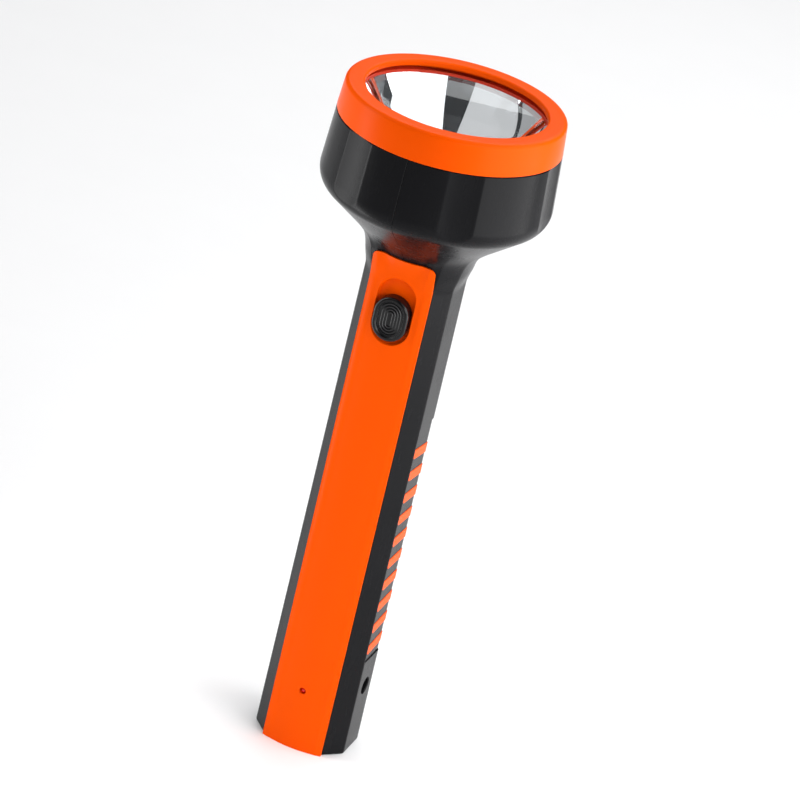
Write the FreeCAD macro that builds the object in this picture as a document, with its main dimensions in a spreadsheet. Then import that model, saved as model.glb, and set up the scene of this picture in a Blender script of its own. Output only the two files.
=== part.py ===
"""Rechargeable hand torch: an octagonal handle that flares into a round lamp head.

Axes: +Z runs up the torch from the base to the lens, -Y is the front with the coloured panel
and the switch, +X is the side with the charging socket. The origin is the middle of the base.
All sizes are in millimetres. The sheet "Sizes" holds the driving dimensions, and every object
takes its sizes and its place from the sheet by expression.
"""
import FreeCAD, Part

import math
import os
import Sketcher

V = FreeCAD.Vector

# ---------------------------------------------------------------- driving dimensions

SIZES = {
    # outer form, from the base up
    "handle_length": 187.5,
    "flare_height": 17.0,
    "flare_radius": 21.5,
    "cone_height": 12.6,
    "shoulder_height": 7.2,
    "shoulder_inset": 3.5,
    "shoulder_radius": 8.3,
    "drum_height": 20.8,
    "drum_taper": 1.4,
    "head_radius": 41.4,
    "bezel_height": 11.4,
    "bezel_draft": 0.8,
    # octagonal handle: half sizes of its faces
    "side_half_base": 17.95,
    "side_half_neck": 16.75,
    "side_face_half": 7.0,
    "front_half_width": 11.8,
    "front_half_depth": 13.9,
    "base_bevel": 0.9,
    # shell
    "wall": 2.2,
    "floor_thick": 2.6,
    "flute_count": 6,
    "flute_width": 12.8,
    "flute_depth": 0.85,
    "flute_start": 15.0,
    "sink_drop": 2.6,
    "collar_bore": 34.4,
    "collar_radius": 36.8,
    "collar_rise": 5.0,
    "collar_root": 5.6,
    "collar_web": 2.4,
    "ledge_bore": 27.0,
    "ledge_thick": 2.0,
    # bezel, lens and reflector
    "window_radius": 32.3,
    "lip_thick": 2.0,
    "lens_thick": 2.0,
    "lens_radius": 36.4,
    "gasket_thick": 1.0,
    "gasket_bore": 33.5,
    "rim_thick": 1.4,
    "fit_gap": 0.1,
    "bezel_round": 1.6,
    "bezel_edge": 0.4,
    "reflector_rim": 33.2,
    "reflector_throat": 9.0,
    "reflector_depth": 24.5,
    "reflector_curve": 58.0,
    "reflector_wall": 1.4,
    # lamp
    "sink_radius": 30.0,
    "sink_plate": 2.2,
    "sink_post": 8.0,
    "sink_lift": 6.0,
    "fin_count": 5,
    "fin_thick": 1.4,
    "fin_pitch": 4.2,
    "fin_height": 8.0,
    "duct_x": 5.4,
    "lamp_board_radius": 7.6,
    "lamp_board_thick": 1.2,
    "emitter_size": 3.6,
    "emitter_thick": 0.8,
    "emitter_dome": 1.5,
    # front panel
    "panel_rise": 12.5,
    "panel_seat": 0.9,
    "panel_edge": 0.4,
    "panel_crown": 2.6,
    "panel_shoulder": 3.4,
    "panel_dip": 1.1,
    "shoulder_curve": 6.5,
    "crown_curve": 33.0,
    "panel_corner": 2.6,
    "panel_gap": 0.15,
    # thumb switch
    "recess_half_width": 7.1,
    "recess_drop": 20.5,
    "recess_length": 25.1,
    "knob_half_width": 6.5,
    "knob_length": 16.8,
    "knob_clear": 1.7,
    "knob_proud": 1.8,
    "knob_lift": 0.35,
    "knob_round": 0.9,
    "knob_ring": 0.5,
    "switch_travel": 5.6,
    "stem_width": 3.6,
    "stem_length": 8.0,
    "stem_gap": 0.4,
    "slider_half_width": 3.6,
    "slider_length": 12.0,
    "slider_depth": 3.4,
    "switch_clear": 0.4,
    "switch_wall": 1.5,
    "post_radius": 1.9,
    "terminal_radius": 0.5,
    "terminal_pitch": 6.4,
    # grip windows in the side faces
    "grip_bottom": 39.0,
    "grip_top": 135.6,
    "grip_front": 6.6,
    "grip_rear": 9.6,
    "grip_sink": 0.4,
    "grip_proud": 0.2,
    "rib_count": 10,
    "rib_first": 42.2,
    "rib_pitch": 8.92,
    "rib_height": 4.1,
    "rib_slant_top": 7.0,
    "rib_slant_bottom": -4.0,
    "rib_gap": 0.12,
    "spine_thick": 1.2,
    # electronics
    "board_half_width": 11.0,
    "board_bottom": 8.0,
    "board_length": 49.0,
    "board_thick": 1.6,
    "board_standoff": 3.8,
    "board_screw_x": 8.2,
    "board_screw_inset": 3.6,
    "indicator_z": 24.3,
    "indicator_radius": 1.25,
    "indicator_sink": 0.5,
    "socket_z": 26.5,
    "socket_y": 0.4,
    "socket_hole": 3.2,
    "socket_bore": 3.0,
    "socket_step": 0.2,
    "socket_mouth": 3.2,
    "socket_pin": 1.05,
    "socket_depth": 10.4,
    "socket_pin_set": 3.5,
    "socket_width": 9.0,
    "socket_length": 14.4,
    "chip_x": -5.7,
    "chip_z": 42.0,
    "chip_width": 5.0,
    "chip_length": 4.2,
    "chip_height": 1.7,
    "leg_pitch": 1.1,
    "coil_x": 2.6,
    "coil_z": 46.0,
    "coil_radius": 2.8,
    "coil_height": 3.2,
    "can_x": -6.0,
    "can_z": 34.0,
    "can_radius": 2.5,
    "can_height": 6.0,
    # battery
    "cell_radius": 9.1,
    "cell_length": 65.0,
    "cell_bottom": 68.0,
    "cell_y": 1.0,
    "cell_nub": 0.2,
    "cell_cap_radius": 3.0,
    "plate_thick": 0.4,
    "cradle_wall": 1.2,
    "cradle_end": 1.6,
    "spring_leaf": 0.35,
    "spring_height": 5.35,
    "spring_reach": 5.0,
    "spring_width": 6.0,
    # fasteners and wires
    "screw_shank": 1.4,
    "screw_head": 2.7,
    "screw_head_thick": 1.8,
    "screw_length": 21.0,
    "boss_radius": 3.2,
    "boss_low_y": 5.0,
    "boss_low_z": 13.0,
    "boss_mid_y": 3.0,
    "boss_mid_rise": 16.0,
    "boss_top_y": 4.5,
    "boss_top_rise": 8.5,
    "small_shank": 0.9,
    "small_head": 1.7,
    "small_head_thick": 1.1,
    "lead_radius": 0.6,
}

doc = FreeCAD.newDocument("HandTorch")
sheet = doc.addObject("Spreadsheet::Sheet", "Sizes")
for row, (size_name, size_value) in enumerate(SIZES.items(), start=1):
    sheet.set("A%d" % row, size_name)
    sheet.set("B%d" % row, str(size_value))
    sheet.setAlias("B%d" % row, size_name)
doc.recompute()


class Dim:
    """A size together with the expression that gives it from the sheet."""

    def __init__(self, value, text):
        self.value = value
        self.text = text

    def __add__(self, other):
        other = dim(other)
        return Dim(self.value + other.value, "(%s + %s)" % (self.text, other.text))

    def __sub__(self, other):
        other = dim(other)
        return Dim(self.value - other.value, "(%s - %s)" % (self.text, other.text))

    def __mul__(self, other):
        other = dim(other)
        return Dim(self.value * other.value, "(%s * %s)" % (self.text, other.text))

    def __truediv__(self, other):
        other = dim(other)
        return Dim(self.value / other.value, "(%s / %s)" % (self.text, other.text))

    def __radd__(self, other):
        return dim(other) + self

    def __rsub__(self, other):
        return dim(other) - self

    def __rmul__(self, other):
        return dim(other) * self

    def __neg__(self):
        return dim(0) - self


def dim(size):
    """Any number or Dim as a Dim."""
    if isinstance(size, Dim):
        return size
    return Dim(float(size), repr(float(size)))


def root(size):
    """Square root of a Dim."""
    return Dim(math.sqrt(size.value), "sqrt(%s)" % size.text)


class Sheet:
    """Reads the sheet's cells as Dims, by alias."""

    def __getattr__(self, name):
        return Dim(SIZES[name], "Sizes.%s" % name)


S = Sheet()

# ---------------------------------------------------------------- levels and radii

FLARE_TOP = S.handle_length + S.flare_height
CONE_TOP = FLARE_TOP + S.cone_height
DRUM_FOOT = CONE_TOP + S.shoulder_height
DRUM_TOP = DRUM_FOOT + S.drum_height
TORCH_TOP = DRUM_TOP + S.bezel_height

FRONT = -S.front_half_depth
FLARE_CENTRE = S.front_half_depth + S.flare_radius
FLARE_REACH = root(S.flare_radius * S.flare_radius - S.flare_height * S.flare_height)
FLARE_END = FLARE_CENTRE - FLARE_REACH
CONE_END = S.head_radius - S.shoulder_inset
BEZEL_RADIUS = S.head_radius - S.drum_taper

LENS_TOP = TORCH_TOP - S.lip_thick
LENS_FOOT = LENS_TOP - S.lens_thick
RIM_TOP = LENS_FOOT - S.gasket_thick
COLLAR_TOP = RIM_TOP - S.rim_thick
THROAT_Z = RIM_TOP - S.reflector_depth

PANEL_SEAT = FRONT + S.panel_seat
PANEL_EDGE = FRONT - S.panel_edge
PANEL_FACE = FRONT - S.panel_crown
PANEL_TOP = S.handle_length + S.panel_rise
RECESS_FLOOR = FRONT
RECESS_FOOT = S.handle_length - S.recess_drop
RECESS_TOP = RECESS_FOOT + S.recess_length
KNOB_FOOT = RECESS_FOOT + S.knob_clear
KNOB_TOP = KNOB_FOOT + S.knob_length
KNOB_Z = KNOB_FOOT + S.knob_length / 2
KNOB_BACK = RECESS_FLOOR - S.knob_lift
KNOB_FACE = PANEL_FACE - S.knob_proud

INNER_FRONT = FRONT + S.wall
SWITCH_FRONT = INNER_FRONT + S.switch_clear
SLIDER_FOOT = KNOB_Z - S.slider_length / 2
SLIDER_TOP = KNOB_Z + S.slider_length / 2
SLIDER_BACK = SWITCH_FRONT + S.slider_depth
HOUSING_FOOT = SLIDER_FOOT - S.switch_clear
HOUSING_TOP = SLIDER_TOP + S.switch_travel + S.switch_clear
HOUSING_HALF = S.slider_half_width + S.switch_clear + S.switch_wall
CHAMBER_BACK = SLIDER_BACK + 3 * S.switch_clear
HOUSING_BACK = CHAMBER_BACK + S.switch_wall
LOW_POST = HOUSING_FOOT - S.switch_wall - S.post_radius
HIGH_POST = HOUSING_TOP + S.switch_wall + S.post_radius

BOARD_FRONT = INNER_FRONT + S.board_standoff
BOARD_BACK = BOARD_FRONT + S.board_thick
BOARD_TOP = S.board_bottom + S.board_length

SINK_FOOT = CONE_TOP - S.sink_drop
POST_TOP = THROAT_Z + S.sink_lift - 2
LAMP_BOARD_TOP = POST_TOP + S.lamp_board_thick

CELL_TOP = S.cell_bottom + S.cell_length
CRADLE_FOOT = S.cell_bottom - S.spring_height - S.cradle_end
CRADLE_TOP = CELL_TOP + S.cell_nub + S.plate_thick + S.cradle_end

# ---------------------------------------------------------------- helpers

AXES = {
    "x": FreeCAD.Rotation(V(0, 1, 0), 90),
    "y": FreeCAD.Rotation(V(1, 0, 0), -90),
    "z": FreeCAD.Rotation(),
}


def bind(obj, **sizes):
    """Bind properties of an object to expressions."""
    for name, size in sizes.items():
        obj.setExpression(name, dim(size).text)
    return obj


def place(obj, x=0, y=0, z=0, turn=None):
    """Put an object at x, y, z, each bound to the sheet."""
    at = [dim(x), dim(y), dim(z)]
    obj.Placement = FreeCAD.Placement(V(*[c.value for c in at]), turn or FreeCAD.Rotation())
    for letter, coordinate in zip("xyz", at):
        obj.setExpression("Placement.Base." + letter, coordinate.text)
    return obj


def box(name, x, y, z):
    """A box from pairs of low and high bounds."""
    solid = doc.addObject("Part::Box", name)
    bind(solid, Length=x[1] - dim(x[0]), Width=y[1] - dim(y[0]), Height=z[1] - dim(z[0]))
    return place(solid, x[0], y[0], z[0])


def rod(name, radius, length, axis, x=0, y=0, z=0):
    """A cylinder that starts at x, y, z and runs along the axis."""
    solid = doc.addObject("Part::Cylinder", name)
    bind(solid, Radius=radius, Height=length)
    return place(solid, x, y, z, AXES[axis])


def cone(name, radius, end_radius, length, axis, x=0, y=0, z=0):
    """A cone frustum that starts at x, y, z and runs along the axis."""
    solid = doc.addObject("Part::Cone", name)
    bind(solid, Radius1=radius, Radius2=end_radius, Height=length)
    return place(solid, x, y, z, AXES[axis])


def join(name, *solids):
    """All the solids as one object."""
    if len(solids) == 1:
        return solids[0]
    fused = doc.addObject("Part::MultiFuse", name)
    fused.Shapes = list(solids)
    return fused


def cut(name, base, *tools):
    """The base less every tool."""
    cutting = doc.addObject("Part::Cut", name)
    cutting.Base = base
    cutting.Tool = join(name + "_tools", *tools)
    return cutting


def common(name, *solids):
    """What the solids share."""
    shared = doc.addObject("Part::MultiCommon", name)
    shared.Shapes = list(solids)
    return shared


def group(name, *solids):
    """Separate solids kept in one node."""
    together = doc.addObject("Part::Compound", name)
    together.Links = list(solids)
    return together


def make_body(name):
    return doc.addObject("PartDesign::Body", name)


def origin_plane(body, role):
    for feature in body.Origin.OriginFeatures:
        if feature.Role == role:
            return feature
    raise RuntimeError("no plane " + role)


def make_sketch(body, name, role, offset=0):
    """An empty sketch on one of the body's own planes, moved along the plane's normal."""
    sketch = body.newObject("Sketcher::SketchObject", name)
    sketch.AttachmentSupport = [(origin_plane(body, role), "")]
    sketch.MapMode = "FlatFace"
    offset = dim(offset)
    sketch.AttachmentOffset = FreeCAD.Placement(V(0, 0, offset.value), FreeCAD.Rotation())
    sketch.setExpression("AttachmentOffset.Base.z", offset.text)
    return sketch


def arc_centre(start, end, radius, side):
    """Centre of the arc from start to end: side +1 has it on the left of the chord, -1 right."""
    chord = end - start
    reach = math.sqrt(max(radius * radius - chord.Length * chord.Length / 4, 0.0))
    left = V(-chord.y, chord.x, 0).normalize()
    return (start + end) * 0.5 + left * (reach * side)


def draw(sketch, corners):
    """A closed outline. A corner is (x, y), or (x, y, radius, side) with an arc to the next."""
    count = len(corners)
    places = [V(dim(c[0]).value, dim(c[1]).value, 0) for c in corners]
    ends = []
    for index, corner in enumerate(corners):
        start = places[index]
        end = places[(index + 1) % count]
        if len(corner) == 2:
            edge = sketch.addGeometry(Part.LineSegment(start, end), False)
            ends.append((edge, 1, 2))
            continue
        radius, side = dim(corner[2]), corner[3]
        centre = arc_centre(start, end, radius.value, side)
        circle = Part.Circle(centre, V(0, 0, 1), radius.value)
        angles = [math.atan2(p.y - centre.y, p.x - centre.x) for p in (start, end)]
        if side < 0:
            angles.reverse()
        edge = sketch.addGeometry(Part.ArcOfCircle(circle, angles[0], angles[1]), False)
        ends.append((edge, 1, 2) if side > 0 else (edge, 2, 1))
        size = sketch.addConstraint(Sketcher.Constraint("Radius", edge, radius.value))
        sketch.setExpression("Constraints[%d]" % size, radius.text)
    for index, corner in enumerate(corners):
        edge, first, _ = ends[index]
        before, _, last = ends[index - 1]
        sketch.addConstraint(Sketcher.Constraint("Coincident", before, last, edge, first))
        for kind, axis, coordinate in (("DistanceX", -2, corner[0]), ("DistanceY", -1, corner[1])):
            if not isinstance(coordinate, Dim):
                sketch.addConstraint(Sketcher.Constraint("PointOnObject", edge, first, axis))
                continue
            size = sketch.addConstraint(Sketcher.Constraint(kind, edge, first, coordinate.value))
            sketch.setExpression("Constraints[%d]" % size, coordinate.text)


def revolve(name, corners):
    """A body turned round the torch's axis from an outline in radius and height."""
    body = make_body(name)
    sketch = make_sketch(body, name + "_outline", "XZ_Plane")
    draw(sketch, corners)
    turned = body.newObject("PartDesign::Revolution", name + "_turned")
    turned.Profile = sketch
    turned.ReferenceAxis = (sketch, ["V_Axis"])
    turned.Angle = 360
    sketch.Visibility = False
    return body


def pad(name, role, corners, offset, length, holes=()):
    """A body padded from an outline, with any further outlines as holes."""
    body = make_body(name)
    sketch = make_sketch(body, name + "_outline", role, offset)
    draw(sketch, corners)
    for hole in holes:
        draw(sketch, hole)
    padded = body.newObject("PartDesign::Pad", name + "_pad")
    padded.Profile = sketch
    bind(padded, Length=length)
    return body


def octagon(inset, narrow):
    """Corners of the handle's section. Inset moves each face in; narrow is the side half size."""
    side = narrow - inset
    depth = S.front_half_depth - inset
    front = S.front_half_width - inset * 0.5
    flank = S.side_face_half - inset * 0.32
    quarter = [(side, -flank), (side, flank), (front, depth), (-front, depth)]
    return quarter + [(-x, -y) for x, y in quarter]


def handle(name, side_inset=0, inset=0, bevel=None):
    """The tapering octagonal handle, up to the top of the flare."""
    body = make_body(name)
    taper = (S.side_half_base - S.side_half_neck) / FLARE_TOP
    levels = [(dim(0), inset)]
    if bevel is not None:
        levels = [(dim(0), inset + bevel), (bevel, inset)]
    levels.append((FLARE_TOP, inset))
    sketches = []
    for level, amount in levels:
        sketch = make_sketch(body, "%s_section_%d" % (name, len(sketches)), "XY_Plane", level)
        draw(sketch, octagon(amount, S.side_half_base - taper * level - side_inset))
        sketches.append(sketch)
    loft = body.newObject("PartDesign::AdditiveLoft", name + "_loft")
    loft.Profile = sketches[0]
    loft.Sections = sketches[1:]
    loft.Ruled = True
    return body


def flare(name, offset):
    """The foot of the head, where it grows out of the handle, moved out by the offset."""
    share = (S.flare_radius - offset) / S.flare_radius
    return revolve(name, [
        (0, S.handle_length),
        (S.front_half_depth + offset, S.handle_length, S.flare_radius - offset, -1),
        (FLARE_CENTRE - FLARE_REACH * share, S.handle_length + S.flare_height * share),
        (0, S.handle_length + S.flare_height * share),
    ])


def lozenge(half_width, low, high):
    """A stadium outline, upright, with half-round ends."""
    return [
        (half_width, low + half_width),
        (half_width, high - half_width, half_width, 1),
        (0, high, half_width, 1),
        (-half_width, high - half_width),
        (-half_width, low + half_width, half_width, 1),
        (0, low, half_width, 1),
    ]


def panel_outline(margin):
    """The front panel seen from the front, grown by a margin."""
    half = S.front_half_width + margin
    top = PANEL_TOP + margin
    corner = S.panel_corner + margin
    return [
        (half, dim(0)),
        (half, top - corner, corner, 1),
        (half - corner, top),
        (corner - half, top, corner, 1),
        (-half, top - corner),
        (-half, dim(0)),
    ]


def screw(name, axis, shank, head, head_thick, length, x, y, z):
    """A pan-head screw with a cross drive. It starts under its head and runs along the axis."""
    letters = {"x": x, "y": y, "z": z}
    behind = dict(letters)
    behind[axis] = dim(letters[axis]) - head_thick
    parts = [
        rod(name + "_shank", shank, length, axis, **letters),
        rod(name + "_head", head, head_thick, axis, **behind),
    ]
    solid = join(name + "_blank", *parts)
    spans = {}
    slots = []
    for which in (0, 1):
        across = [letter for letter in "xyz" if letter != axis]
        spans[axis] = (behind[axis] - 0.1, behind[axis] + head_thick * 0.5)
        spans[across[which]] = (letters[across[which]] - head * 0.6, letters[across[which]] + head * 0.6)
        spans[across[1 - which]] = (letters[across[1 - which]] - head * 0.12,
                                    letters[across[1 - which]] + head * 0.12)
        slots.append(box("%s_slot_%d" % (name, which), spans["x"], spans["y"], spans["z"]))
    return cut(name, solid, *slots)


nodes = {}


def keep(name, solid):
    """Register an object as a finished sub-part under its own label."""
    if solid.Label != name:
        solid.Label = name
    nodes[name] = solid
    return solid


# ---------------------------------------------------------------- bezel, lens and reflector

def make_bezel():
    edge = S.bezel_round
    bezel = revolve("bezel_turned", [
        (BEZEL_RADIUS - S.bezel_edge, DRUM_TOP),
        (BEZEL_RADIUS, DRUM_TOP + S.bezel_edge),
        (BEZEL_RADIUS - S.bezel_draft, TORCH_TOP - edge, edge, 1),
        (BEZEL_RADIUS - S.bezel_draft - edge, TORCH_TOP),
        (S.window_radius + edge / 2, TORCH_TOP, edge / 2, 1),
        (S.window_radius, TORCH_TOP - edge / 2),
        (S.window_radius, LENS_TOP),
        (S.collar_radius + S.fit_gap, LENS_TOP),
        (S.collar_radius + S.fit_gap, DRUM_TOP),
    ])
    keep("bezel_ring", bezel)


def make_lens():
    keep("lens_window", rod("lens_disc", S.lens_radius, S.lens_thick, "z", z=LENS_FOOT))
    ring = rod("gasket_disc", S.lens_radius, S.gasket_thick, "z", z=RIM_TOP)
    hole = rod("gasket_hole", S.gasket_bore, S.gasket_thick + 2, "z", z=RIM_TOP - 1)
    keep("lens_gasket", cut("gasket_ring", ring, hole))


def make_reflector():
    wall = S.reflector_wall
    curve = S.reflector_curve
    dish = revolve("reflector_dish", [
        (S.reflector_throat, THROAT_Z, curve, 1),
        (S.reflector_rim, RIM_TOP),
        (S.lens_radius, RIM_TOP),
        (S.lens_radius, COLLAR_TOP),
        (S.reflector_rim + wall * 0.3, COLLAR_TOP, curve, -1),
        (S.reflector_throat + wall, THROAT_Z),
    ])
    keep("reflector", dish)


# ---------------------------------------------------------------- lamp

def make_lamp():
    plate = rod("sink_plate_disc", S.sink_radius, S.sink_plate, "z", z=SINK_FOOT)
    post = rod("sink_post_rod", S.sink_post, POST_TOP - SINK_FOOT, "z", z=SINK_FOOT)
    fins = []
    reach = S.fin_pitch * S.fin_count / 2
    for index in range(int(SIZES["fin_count"])):
        middle = S.fin_pitch * (index - (int(SIZES["fin_count"]) - 1) / 2)
        fins.append(box("sink_fin_%d" % index, (-reach, reach),
                        (middle - S.fin_thick / 2, middle + S.fin_thick / 2),
                        (SINK_FOOT - S.fin_height, SINK_FOOT + S.sink_plate / 2)))
    body = join("sink_body", plate, post, *fins)
    ducts = []
    for side in (-1, 1):
        ducts.append(rod("sink_duct_%d" % (side + 1), S.lead_radius + 0.2, 60, "z",
                         x=side * S.duct_x, y=-S.fin_pitch / 2, z=SINK_FOOT - 1))
    taps = []
    for side in (-1, 1):
        taps.append(rod("sink_tap_%d" % (side + 1), S.small_shank, S.sink_lift, "z",
                        y=side * (S.lamp_board_radius - S.small_head - 0.4),
                        z=POST_TOP - S.sink_lift))
    keep("lamp_heat_sink", cut("sink_drilled", body, *ducts, *taps))

    disc = rod("lamp_board_disc", S.lamp_board_radius, S.lamp_board_thick, "z", z=POST_TOP)
    holes = []
    screws = []
    for side in (-1, 1):
        y = side * (S.lamp_board_radius - S.small_head - 0.4)
        holes.append(rod("lamp_board_hole_%d" % (side + 1), S.small_shank + 0.1,
                         S.lamp_board_thick + 2, "z", y=y, z=POST_TOP - 1))
        screws.append(small_screw("lamp_screw_%d" % (side + 1), "z", -1, 0, y, LAMP_BOARD_TOP))
    keep("lamp_board", cut("lamp_board_drilled", disc, *holes))
    keep("lamp_screws", group("lamp_screw_pair", *screws))

    half = S.emitter_size / 2
    chip = box("emitter_base", (-half, half), (-half, half),
               (LAMP_BOARD_TOP, LAMP_BOARD_TOP + S.emitter_thick))
    dome = doc.addObject("Part::Sphere", "emitter_dome")
    bind(dome, Radius=S.emitter_dome, Angle1=0)
    place(dome, z=LAMP_BOARD_TOP + S.emitter_thick)
    keep("lamp_emitter", join("emitter", chip, dome))


def small_screw(name, axis, way, x, y, z):
    """A small screw whose head sits on the face at x, y, z; its shank runs the way given."""
    letters = {"x": x, "y": y, "z": z}
    start = dict(letters)
    length = S.board_standoff
    head = dict(letters)
    if way < 0:
        start[axis] = dim(letters[axis]) - length
    else:
        head[axis] = dim(letters[axis]) - S.small_head_thick
    shank = rod(name + "_shank", S.small_shank, length, axis, **start)
    cap = rod(name + "_cap", S.small_head, S.small_head_thick, axis, **head)
    outer = dim(letters[axis]) - way * S.small_head_thick
    inner = outer + way * S.small_head_thick * 0.5
    spans = {axis: (outer, inner) if way > 0 else (inner, outer)}
    across = [letter for letter in "xyz" if letter != axis]
    slots = []
    for which in (0, 1):
        long_way, short_way = across[which], across[1 - which]
        spans[long_way] = (letters[long_way] - S.small_head * 0.65, letters[long_way] + S.small_head * 0.65)
        spans[short_way] = (letters[short_way] - S.small_head * 0.15,
                            letters[short_way] + S.small_head * 0.15)
        slots.append(box("%s_cross_%d" % (name, which), spans["x"], spans["y"], spans["z"]))
    return cut(name, join(name + "_blank", shank, cap), *slots)


# ---------------------------------------------------------------- shells

BOSSES = [
    (S.boss_low_y, S.boss_low_z),
    (S.boss_mid_y, CELL_TOP + S.boss_mid_rise),
    (S.boss_top_y, S.handle_length + S.boss_top_rise),
]


def make_shell_blank():
    """Both shells as one solid, before they are parted on the middle plane."""
    head_outside = revolve("head_outside", [
        (0, S.handle_length),
        (S.front_half_depth, S.handle_length, S.flare_radius, -1),
        (FLARE_END, FLARE_TOP),
        (CONE_END, CONE_TOP, S.shoulder_radius, 1),
        (S.head_radius, DRUM_FOOT),
        (BEZEL_RADIUS + S.bezel_edge * 0.1, DRUM_TOP - S.bezel_edge),
        (BEZEL_RADIUS - S.bezel_edge, DRUM_TOP),
        (0, DRUM_TOP),
    ])
    outside = join("torch_outside", handle("handle_outside", bevel=S.base_bevel), head_outside)
    wall = S.wall
    share = (S.flare_radius + wall) / S.flare_radius
    head_hollow = revolve("head_hollow", [
        (0, S.handle_length - wall),
        (S.front_half_depth - wall, S.handle_length - wall),
        (S.front_half_depth - wall, S.handle_length, S.flare_radius + wall, -1),
        (FLARE_CENTRE - FLARE_REACH * share, S.handle_length + S.flare_height * share),
        (CONE_END - wall * 0.55, CONE_TOP + wall * 0.9),
        (S.head_radius - wall, DRUM_FOOT + wall * 0.3),
        (BEZEL_RADIUS - wall, DRUM_TOP + 1),
        (0, DRUM_TOP + 1),
    ])
    hollow_limit = box("hollow_limit", (-40, dim(40)), (-40, dim(40)), (S.floor_thick, S.handle_length))
    handle_hollow = common("handle_hollow", handle("handle_inside", inset=wall), hollow_limit)

    flute_core = revolve("flute_core", [
        (0, DRUM_FOOT - S.flute_start),
        (S.head_radius - S.flute_depth, DRUM_FOOT - S.flute_start),
        (S.head_radius - S.flute_depth, DRUM_FOOT),
        (BEZEL_RADIUS - S.flute_depth, DRUM_TOP + 1),
        (0, DRUM_TOP + 1),
    ])
    bars = []
    count = int(SIZES["flute_count"])
    for index in range(count):
        bar = doc.addObject("Part::Box", "flute_bar_%d" % index)
        bind(bar, Length=S.flute_width, Width=S.head_radius, Height=DRUM_TOP - DRUM_FOOT + S.flute_start)
        turn = FreeCAD.Rotation(V(0, 0, 1), 360.0 / count * (index + 0.5))
        side = turn.multVec(V(1, 0, 0))
        ahead = turn.multVec(V(0, 1, 0))
        inner = S.head_radius * 0.8
        place(bar, inner * ahead.x - S.flute_width * (0.5 * side.x),
              inner * ahead.y - S.flute_width * (0.5 * side.y), DRUM_FOOT - S.flute_start, turn)
        bars.append(bar)
    flutes = cut("flutes", join("flute_bars", *bars), flute_core)

    seat = join("panel_seat_core",
                box("panel_seat_block", (-30, dim(30)), (PANEL_SEAT, dim(30)), (dim(-5), PANEL_TOP + 5)),
                flare("panel_seat_flare", -S.panel_seat))
    pocket_outline = pad("panel_pocket_outline", "XZ_Plane", panel_outline(S.panel_gap), dim(8), dim(20))
    pocket = cut("panel_pocket", pocket_outline, seat)

    window = box("switch_window", (-HOUSING_HALF - S.switch_clear, HOUSING_HALF + S.switch_clear),
                 (-25, INNER_FRONT + S.wall),
                 (LOW_POST - 2 * S.post_radius, HIGH_POST + 1.2 * S.post_radius))
    indicator_hole = rod("indicator_shell_hole", S.indicator_radius + 0.45, 12, "y",
                         y=FRONT - 2, z=S.indicator_z)
    socket_hole = rod("socket_shell_hole", S.socket_hole, 20, "x", x=dim(10), y=S.socket_y, z=S.socket_z)
    rim = cone("socket_rim", S.socket_hole, S.socket_hole + 0.6, 0.6, "x",
               x=socket_face() - 0.4, y=S.socket_y, z=S.socket_z)

    zone = grip_zone()
    grip_cut = cut("grip_sinking", zone, handle("grip_floor", side_inset=S.grip_sink))
    slots = common("grip_slots", join("grip_slot_bars", *rib_bars("slot", dim(0))), grip_slot_zone(dim(0)))

    hollowed = cut("torch_hollow", outside, head_hollow, handle_hollow, flutes)
    shaped = cut("torch_shaped", hollowed, pocket, window, indicator_hole, socket_hole, rim,
                 grip_cut, slots)
    collar = revolve("bezel_collar", [
        (S.collar_bore, COLLAR_TOP - S.collar_rise - S.collar_root),
        (BEZEL_RADIUS - wall / 2, COLLAR_TOP - S.collar_rise - S.collar_root),
        (BEZEL_RADIUS - wall / 2, COLLAR_TOP - S.collar_rise - S.collar_root + S.collar_web),
        (S.collar_radius, COLLAR_TOP - S.collar_rise - S.collar_root + S.collar_web),
        (S.collar_radius, COLLAR_TOP),
        (S.collar_bore, COLLAR_TOP),
    ])
    ledge = revolve("sink_ledge", [
        (S.ledge_bore, SINK_FOOT),
        (S.sink_radius - S.ledge_thick, SINK_FOOT - S.ledge_thick),
        (S.sink_radius + wall / 2, SINK_FOOT - S.ledge_thick / 2),
        (S.sink_radius + wall / 2, SINK_FOOT),
    ])
    return join("torch_shell", shaped, collar, ledge)


def side_at(level):
    """Half size of the handle across its side faces at a level."""
    return S.side_half_base - (S.side_half_base - S.side_half_neck) / FLARE_TOP * level


def socket_face():
    return side_at(S.socket_z)


def grip_zone():
    """Where the side faces are sunk a little, from the front corner right round to the back."""
    depth = (-S.grip_front, dim(30))
    height = (S.grip_bottom, S.grip_top)
    return join("grip_zone",
                box("grip_zone_right", (dim(12), dim(30)), depth, height),
                box("grip_zone_left", (dim(-30), dim(-12)), depth, height))


def grip_slot_zone(gap):
    name = "grip_bar_zone_%d" % int(gap.value * 1000)
    return box(name, (dim(-30), dim(30)), (gap - S.grip_front + 0.5, S.grip_rear - gap),
               (S.grip_bottom, S.grip_top))


def rib_bars(name, gap):
    """Slanting bars right across the handle, one for each grip window."""
    bars = []
    count = int(SIZES["rib_count"])
    for index in range(count):
        share = index / (count - 1)
        slant = SIZES["rib_slant_bottom"] * (1 - share) + SIZES["rib_slant_top"] * share
        turn = FreeCAD.Rotation(V(1, 0, 0), -slant)
        reach = 30
        drop = turn.multVec(V(0, -reach, 0))
        bar = doc.addObject("Part::Box", "%s_bar_%d" % (name, index))
        bind(bar, Length=2 * reach, Width=2 * reach, Height=S.rib_height - gap * 2)
        place(bar, dim(-reach), dim(drop.y), S.rib_first + S.rib_pitch * index + gap + drop.z, turn)
        bars.append(bar)
    return bars


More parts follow.
